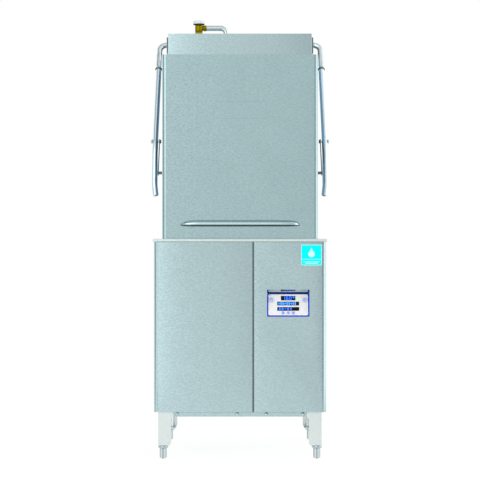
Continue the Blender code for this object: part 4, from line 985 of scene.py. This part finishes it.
def on_arm(side, distance):
    """A point on an arm's axis; the arms splay out from the cross bar to just below their bolts."""
    x = ARM_TOP_X + (ARM_X - ARM_TOP_X) * distance / ARM_BEND_AT
    share = distance / ARM_LENGTH
    return Vector((side * x, PIVOT.y + (BOLT.y - PIVOT.y) * share, PIVOT.z + (BOLT.z - PIVOT.z) * share))


def make_arms():
    corners = [on_arm(-1, SLEEVE[0]), on_arm(-1, 0.0), on_arm(1, 0.0), on_arm(1, SLEEVE[0])]
    tube_piece("cross_bar", rounded_route(corners, 0.03, 14), TUBE_RADIUS, "bright_tube", "lift_arms",
               replaced=["cross_tube"], slot="bright_tube")
    for side_name, side in SIDES:
        make_arm(side_name, side)
        make_sleeve(side_name, side)
        make_bolt(side_name, side)


def make_arm(side_name, side):
    """Bent tube with a rounded plug in its lower end."""
    bend = on_arm(side, ARM_BEND_AT)
    tip = Vector((side * ARM_TIP.x, ARM_TIP.y, ARM_TIP.z))
    curl = bend.lerp(Vector((bend.x, tip.y, tip.z)), 0.78)
    route = rounded_route([on_arm(side, SLEEVE[0] + 0.0003), bend, curl, tip], 0.16, 18)
    direction = (route[-1] - route[-2]).normalized()
    radii = [TUBE_RADIUS] * len(route)
    rounding = 0.0045
    route[-1] = tip - direction * rounding
    for index in range(1, 7):
        angle = radians(15.0 * index)
        route.append(tip - direction * rounding * (1.0 - sin(angle)))
        radii.append(TUBE_RADIUS - rounding * (1.0 - cos(angle)))
    # The arm's finish paints a blue-grey reflection stripe on its side towards the doors.
    tube_piece("arm_tube_" + side_name, route, TUBE_RADIUS, "arm_" + side_name, "lift_arms", radii=radii,
               replaced=["lift_arm_" + side_name], slot="bright_tube")
    plug = [tip + direction * step for step in (-0.001, 0.0002, 0.0006)]
    tube_piece("arm_plug_" + side_name, plug, 0.0, "dark_steel", "lift_arms", 28, [0.007, 0.007, 0.0058],
               60.0, slot="bracket_steel")


def make_sleeve(side_name, side):
    """Pale sleeve over the joint of the cross bar and the arm, with a flared lip at its lower end."""
    steps = 24
    route = [on_arm(side, SLEEVE[0] - 0.004 + (SLEEVE[1] - SLEEVE[0] + 0.01) * index / steps)
             for index in range(steps + 1)]
    radii = []
    for index in range(steps + 1):
        flare = max(0.0, 1.0 - (steps - index) / 3.0) * 0.0028
        radii.append(TUBE_RADIUS + 0.0009 + flare - (0.0006 if index == 0 else 0.0))
    tube_piece("arm_sleeve_" + side_name, route, TUBE_RADIUS, "chrome_pipe", "lift_arms", radii=radii,
               slot="bright_tube")
    direction = (route[-1] - route[0]).normalized()
    lip = [route[-1] + direction * step for step in (0.0003, 0.0015, 0.0048)]
    radii = [TUBE_RADIUS + extra for extra in (0.0034, 0.003, 0.0004)]
    # The lip is a real flared ring; its dark colour is painted shade under the sleeve's end.
    tube_piece("arm_lip_" + side_name, lip, 0.0, "dark_steel", "lift_arms", 32, radii, 35.0,
               slot="bracket_steel")


def make_bolt(side_name, side):
    """Bolt with a domed head and washer outside, hexagon nut inside."""
    low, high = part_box("link_bolt_" + side_name)
    ends = sorted((abs(low.x), abs(high.x)))
    centre = (0.0, BOLT.y, BOLT.z)
    surface = ARM_X + TUBE_RADIUS
    profile = [(0.0, ends[0]), (0.0044, ends[0]), (0.005, ends[0] + 0.0006), (0.005, surface + 0.0003)]
    profile += [(0.0095, surface + 0.0003), (0.0095, surface + 0.0014), (0.0078, surface + 0.0016)]
    profile += [(0.0078, surface + 0.003), (0.0066, ends[1] - 0.0016), (0.004, ends[1] - 0.0003)]
    profile = [(radius, side * along) for radius, along in profile + [(0.0, ends[1])]]
    turned_piece("arm_bolt_" + side_name, profile, centre, "X", "foot_steel", "lift_arms", 32,
                 replaced=["link_bolt_" + side_name], slot="bright_tube")
    prism_piece("arm_nut_" + side_name, hexagon(BOLT.y, BOLT.z, 0.0088), "X",
                between(side * (ends[0] + 0.0008), side * (ends[0] + 0.0049)), "dark_steel", "lift_arms",
                slot="bright_tube", bevel=0.0005)


def make_springs():
    """Close-wound extension springs with a hook at each end."""
    for side_name, side in SIDES:
        name = "lift_spring_" + side_name
        low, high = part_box(name)
        x, y = middle_of(name).xy
        wire = 0.0013
        radius = (high.x - low.x) / 2.0 - wire
        bottom, top = low.z + 0.034, high.z - 0.034
        pitch = 0.0031
        turns = int((top - bottom) / pitch)
        sides = 12
        route = [(x, y, low.z + 0.0015), (x, y, low.z + 0.02)]
        for index in range(turns * sides + 1):
            angle = tau * index / sides
            ease = min(1.0, index / (sides * 2.0), (turns * sides - index) / (sides * 2.0))
            size = 0.002 + (radius - 0.002) * ease
            z = bottom + (top - bottom) * index / (turns * sides)
            route.append((x + size * cos(angle), y + size * sin(angle), z))
        route += [(x, y, high.z - 0.02), (x, y, high.z - 0.0015)]
        coil = tube_piece(name + "_coil", route, wire, "spring_steel", sides=6, angle=80.0, replaced=[name],
                          slot="bracket_steel")
        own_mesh(coil)


def make_bracket_details():
    """Screws that hold the brackets to the hood."""
    for side_name, side in SIDES:
        low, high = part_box("arm_bracket_" + side_name)
        centres = [(side * x, low.y + 0.004 + HAIR, z) for z in (low.z + 0.014, high.z - 0.014)
                   for x in (0.232, 0.262)]
        screws_piece("bracket_screws_" + side_name, centres, "Y", 1.0, 0.005, 0.0026, "bracket_steel")


# ---- rinse plumbing


def make_plumbing():
    """Vacuum breaker with its nut and cap, the rinse pipe in front and the supply pipe behind."""
    low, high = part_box("vacuum_breaker_body")
    centre_x = middle_of("vacuum_breaker_cap").x
    y = (low.y + high.y) / 2.0
    base = low.z
    body = [(0.0, 0.0), (0.0126, 0.0), (0.013, 0.0006), (0.013, 0.005), (0.0158, 0.0062), (0.0166, 0.008),
            (0.0166, 0.0285), (0.0158, 0.03), (0.014, 0.0308), (0.014, 0.033), (0.0, 0.033)]
    bm = bmesh.new()
    add_turned(bm, body, (centre_x, y, base), "Z", 48)
    reach = high.x - centre_x
    outlet = [(0.0, 0.012), (0.01, 0.012), (0.01, 0.0185), (0.0125, 0.02), (0.0125, reach - 0.0008),
              (0.0119, reach), (0.0, reach)]
    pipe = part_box("rinse_pipe")
    pipe_z = pipe[1].z - (pipe[1].y - pipe[0].y) / 2.0
    add_turned(bm, outlet, (centre_x, y, pipe_z), "X", 32)
    make_piece("breaker_body", bm, "brass", replaced=["vacuum_breaker_body"], slot="brass", angle=40.0)
    prism_piece("breaker_nut", hexagon(centre_x, y, 0.016), "Z", (base - 0.0095, base + 0.0048), "brass",
                slot="brass", bevel=0.0006)
    make_cap(centre_x, y)
    make_pipes(centre_x, y, pipe_z)


def make_cap(x, y):
    """White cap with a dark gasket under its brim and a low dome."""
    low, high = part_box("vacuum_breaker_cap")
    radius = (high.x - low.x) / 2.0
    tall = high.z - low.z
    profile = [(0.0, 0.0042), (radius - 0.0016, 0.0042), (radius - 0.0004, 0.0058), (radius, 0.008),
               (radius, 0.0135), (radius - 0.0008, 0.0162), (radius - 0.003, 0.0182), (radius - 0.0075, 0.0192),
               (radius * 0.35, tall - 0.0003), (0.0, tall)]
    turned_piece("breaker_cap", profile, (x, y, low.z), "Z", "cap_plastic", sides=64,
                 replaced=["vacuum_breaker_cap"], slot="cap_plastic")
    gasket = [(0.0, 0.0001), (0.019, 0.0001), (radius - 0.0012, 0.0018), (radius - 0.0004, 0.003),
              (radius - 0.001, 0.0041), (0.0, 0.0041)]
    turned_piece("breaker_gasket", gasket, (x, y, low.z), "Z", "rubber", sides=64, slot="cap_plastic")


def make_pipes(x, y, z):
    low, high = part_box("rinse_pipe")
    radius = (high.y - low.y) / 2.0
    down_x = high.x - radius
    corners = [(low.x, y, z), (down_x, y, z), (down_x, y, low.z)]
    tube_piece("rinse_tube", rounded_route(corners, 0.024, 16), radius, "chrome_pipe", sides=36,
               replaced=["rinse_pipe"], slot="bright_tube")
    flange = [(radius + extra, along) for extra, along in ((0.0003, 0.0), (0.012, 0.0), (0.012, 0.0014),
                                                           (0.004, 0.0026), (0.0034, 0.009), (0.0003, 0.0096))]
    turned_piece("rinse_flange", flange, (down_x, y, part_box("hood_shell")[1].z + HAIR), "Z", "chrome_pipe",
                 sides=40, slot="bright_tube")
    low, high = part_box("supply_pipe")
    radius = (high.x - low.x) / 2.0
    pipe_x = (high.x + low.x) / 2.0
    back = high.y - radius
    start_z = low.z + radius
    start_y = 0.245                    # beside the booster, inside the cabinet
    corners = [(pipe_x, start_y, start_z), (pipe_x, back, start_z)]
    corners += [(pipe_x, back, 1.728), (pipe_x, y, 1.728), (pipe_x, y, high.z)]
    tube_piece("supply_tube", rounded_route(corners, 0.0165, 10), radius, "chrome_pipe", sides=24,
               replaced=["supply_pipe"], slot="bright_tube")
    bm = bmesh.new()
    for height in (0.62, 1.02, 1.42):
        inside, outside = radius + 0.0002, radius + 0.0022
        ring = [(inside, -0.006), (outside, -0.006), (outside, 0.006), (inside, 0.006)]
        add_turned(bm, ring, (pipe_x, back, height), "Z", 24)
    make_piece("supply_clips", bm, "foot_steel", slot="bright_tube")


# ---- back of the machine


def make_back_details():
    """Screws round the rear panel and two fields of pressed louvres."""
    low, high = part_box("rear_panel")
    face = high.y
    centres = [(x, face + HAIR, z) for z in (low.z + 0.015, (low.z + high.z) / 2.0, high.z - 0.015)
               for x in (-0.31, -0.105, 0.105, 0.31)]
    screws_piece("rear_screws", centres, "Y", 1.0, 0.0045, 0.0018)
    bm = bmesh.new()
    for x in (-0.02, 0.18):
        for row in range(9):
            z = 0.25 + row * 0.018
            section = [(face + HAIR, z), (face + 0.0018, z + 0.0006), (face + 0.0018, z + 0.0022),
                       (face + HAIR, z + 0.009)]
            add_prism(bm, section, "X", (x - 0.06, x + 0.06))
    make_piece("rear_louvres", bm, "sheet", slot="sheet", bevel=0.0004)
    centres = [(x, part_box("hood_shell")[1].y + HAIR, z) for x in (-0.27, 0.27)
               for z in (0.885, 1.0, 1.12, 1.24, 1.305)]
    screws_piece("chamber_screws", centres, "Y", 1.0, 0.0045, 0.0022, "hood_sheet")


# ---- floor, light and camera


def make_stage():
    bm = bmesh.new()
    bmesh.ops.create_grid(bm, x_segments=8, y_segments=8, size=2.4)
    floor = new_object("studio_floor", mesh_from("studio_floor", bm))
    material, tree, shader = shader_of("studio_floor")
    soft = noise(tree, 0.8, 2.0)
    tree.links.new(tint(tree, (0.09, 0.09, 0.09), remap(tree, soft, 0.97, 1.03)), shader.inputs["Base Color"])
    shader.inputs["Roughness"].default_value = 0.9
    shader.inputs["Specular IOR Level"].default_value = 0.0
    shader.inputs["Emission Color"].default_value = (1.0, 1.0, 1.0, 1.0)
    shader.inputs["Emission Strength"].default_value = 0.93
    floor.data.materials.append(material)


# Brightness of the studio round the machine: degrees from the front, positive to the right.
AROUND = [(-180, 1.0), (-140, 1.2), (-117, 1.25), (-100, 0.9), (-80, 0.6), (-58, 0.6), (-46, 0.72),
          (-38, 1.2), (-29, 2.0), (-18, 2.0), (-14, 1.35), (-10, 1.02), (0, 1.0), (8, 0.97), (12, 0.8),
          (16, 0.66), (45, 0.66), (55, 1.1), (65, 1.9), (80, 1.75), (117, 1.6), (140, 1.2), (180, 1.0)]
# and from the horizon up: sine of the elevation, factor.
ABOVE = [(0.0, 1.0), (0.15, 1.0), (0.35, 1.15), (0.6, 0.95), (0.82, 0.55), (1.0, 0.5)]


def make_world():
    """White studio to the camera; to the steel, soft boxes and dark flags round the machine."""
    world = bpy.data.worlds.new("studio")
    bpy.context.scene.world = world
    world.use_nodes = True
    tree = world.node_tree
    background = tree.nodes["Background"]
    output = tree.nodes["World Output"]
    coordinates = node(tree, "ShaderNodeTexCoord")
    split = node(tree, "ShaderNodeSeparateXYZ")
    tree.links.new(coordinates.outputs["Generated"], split.inputs[0])
    toward_front = combine(tree, "MULTIPLY", split.outputs["Y"], -1.0)
    angle = combine(tree, "ARCTAN2", split.outputs["X"], toward_front)
    share = remap(tree, angle, 0.0, 1.0, -pi, pi)
    around = level_ramp(tree, share, [((turn + 180.0) / 360.0, level) for turn, level in AROUND])
    above = level_ramp(tree, split.outputs["Z"], ABOVE)
    product = node(tree, "ShaderNodeVectorMath", operation="MULTIPLY")
    tree.links.new(around, product.inputs[0])
    tree.links.new(above, product.inputs[1])
    tree.links.new(product.outputs["Vector"], background.inputs["Color"])
    white = node(tree, "ShaderNodeBackground")
    white.inputs["Color"].default_value = (1.0, 1.0, 1.0, 1.0)
    white.inputs["Strength"].default_value = 1.0
    path = node(tree, "ShaderNodeLightPath")
    choose = node(tree, "ShaderNodeMixShader")
    tree.links.new(path.outputs["Is Camera Ray"], choose.inputs[0])
    tree.links.new(background.outputs[0], choose.inputs[1])
    tree.links.new(white.outputs[0], choose.inputs[2])
    tree.links.new(choose.outputs[0], output.inputs["Surface"])


def make_light(name, place, target, size, power):
    data = bpy.data.lights.new(name, "AREA")
    data.shape = "RECTANGLE"
    data.size, data.size_y = size
    data.energy = power
    lamp = new_object(name, data)
    lamp.location = place
    lamp.rotation_euler = (Vector(target) - Vector(place)).to_track_quat("-Z", "Y").to_euler()


def make_camera():
    """Level camera in front of the machine, at the height of the rim."""
    distance, height = 5.9, 0.859
    view_width = 1.878                 # how much of the front plane the picture's width takes in
    data = bpy.data.cameras.new("camera")
    data.sensor_width = 36.0
    data.lens = data.sensor_width * distance / view_width
    camera = new_object("camera", data)
    camera.location = (0.0, FRONT - distance, height)
    camera.rotation_euler = (radians(90.0), 0.0, 0.0)
    bpy.context.scene.camera = camera


# ---- the whole machine

make_side_panels()
make_front_panel("front_panel_left")
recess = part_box("display_panel")
make_front_panel("front_panel_right", ((recess[0].x - 0.0003, recess[1].x + 0.0003), (0.5587, WINDOW_TOP)))
make_joint_strip()
make_rail_bolts()
make_legs()
make_feet()
make_display()
make_label()
make_doors()
make_hood()
make_arms()
make_springs()
make_bracket_details()
make_plumbing()
make_back_details()
make_stage()
make_world()
make_light("soft_left", (-3.2, -4.5, 3.4), (0.0, 0.0, 0.9), (4.0, 4.0), 30.0)
make_light("soft_top", (0.4, -1.5, 4.2), (0.0, 0.0, 0.6), (4.0, 4.0), 20.0)
make_camera()
bpy.context.scene.view_settings.view_transform = "Standard"
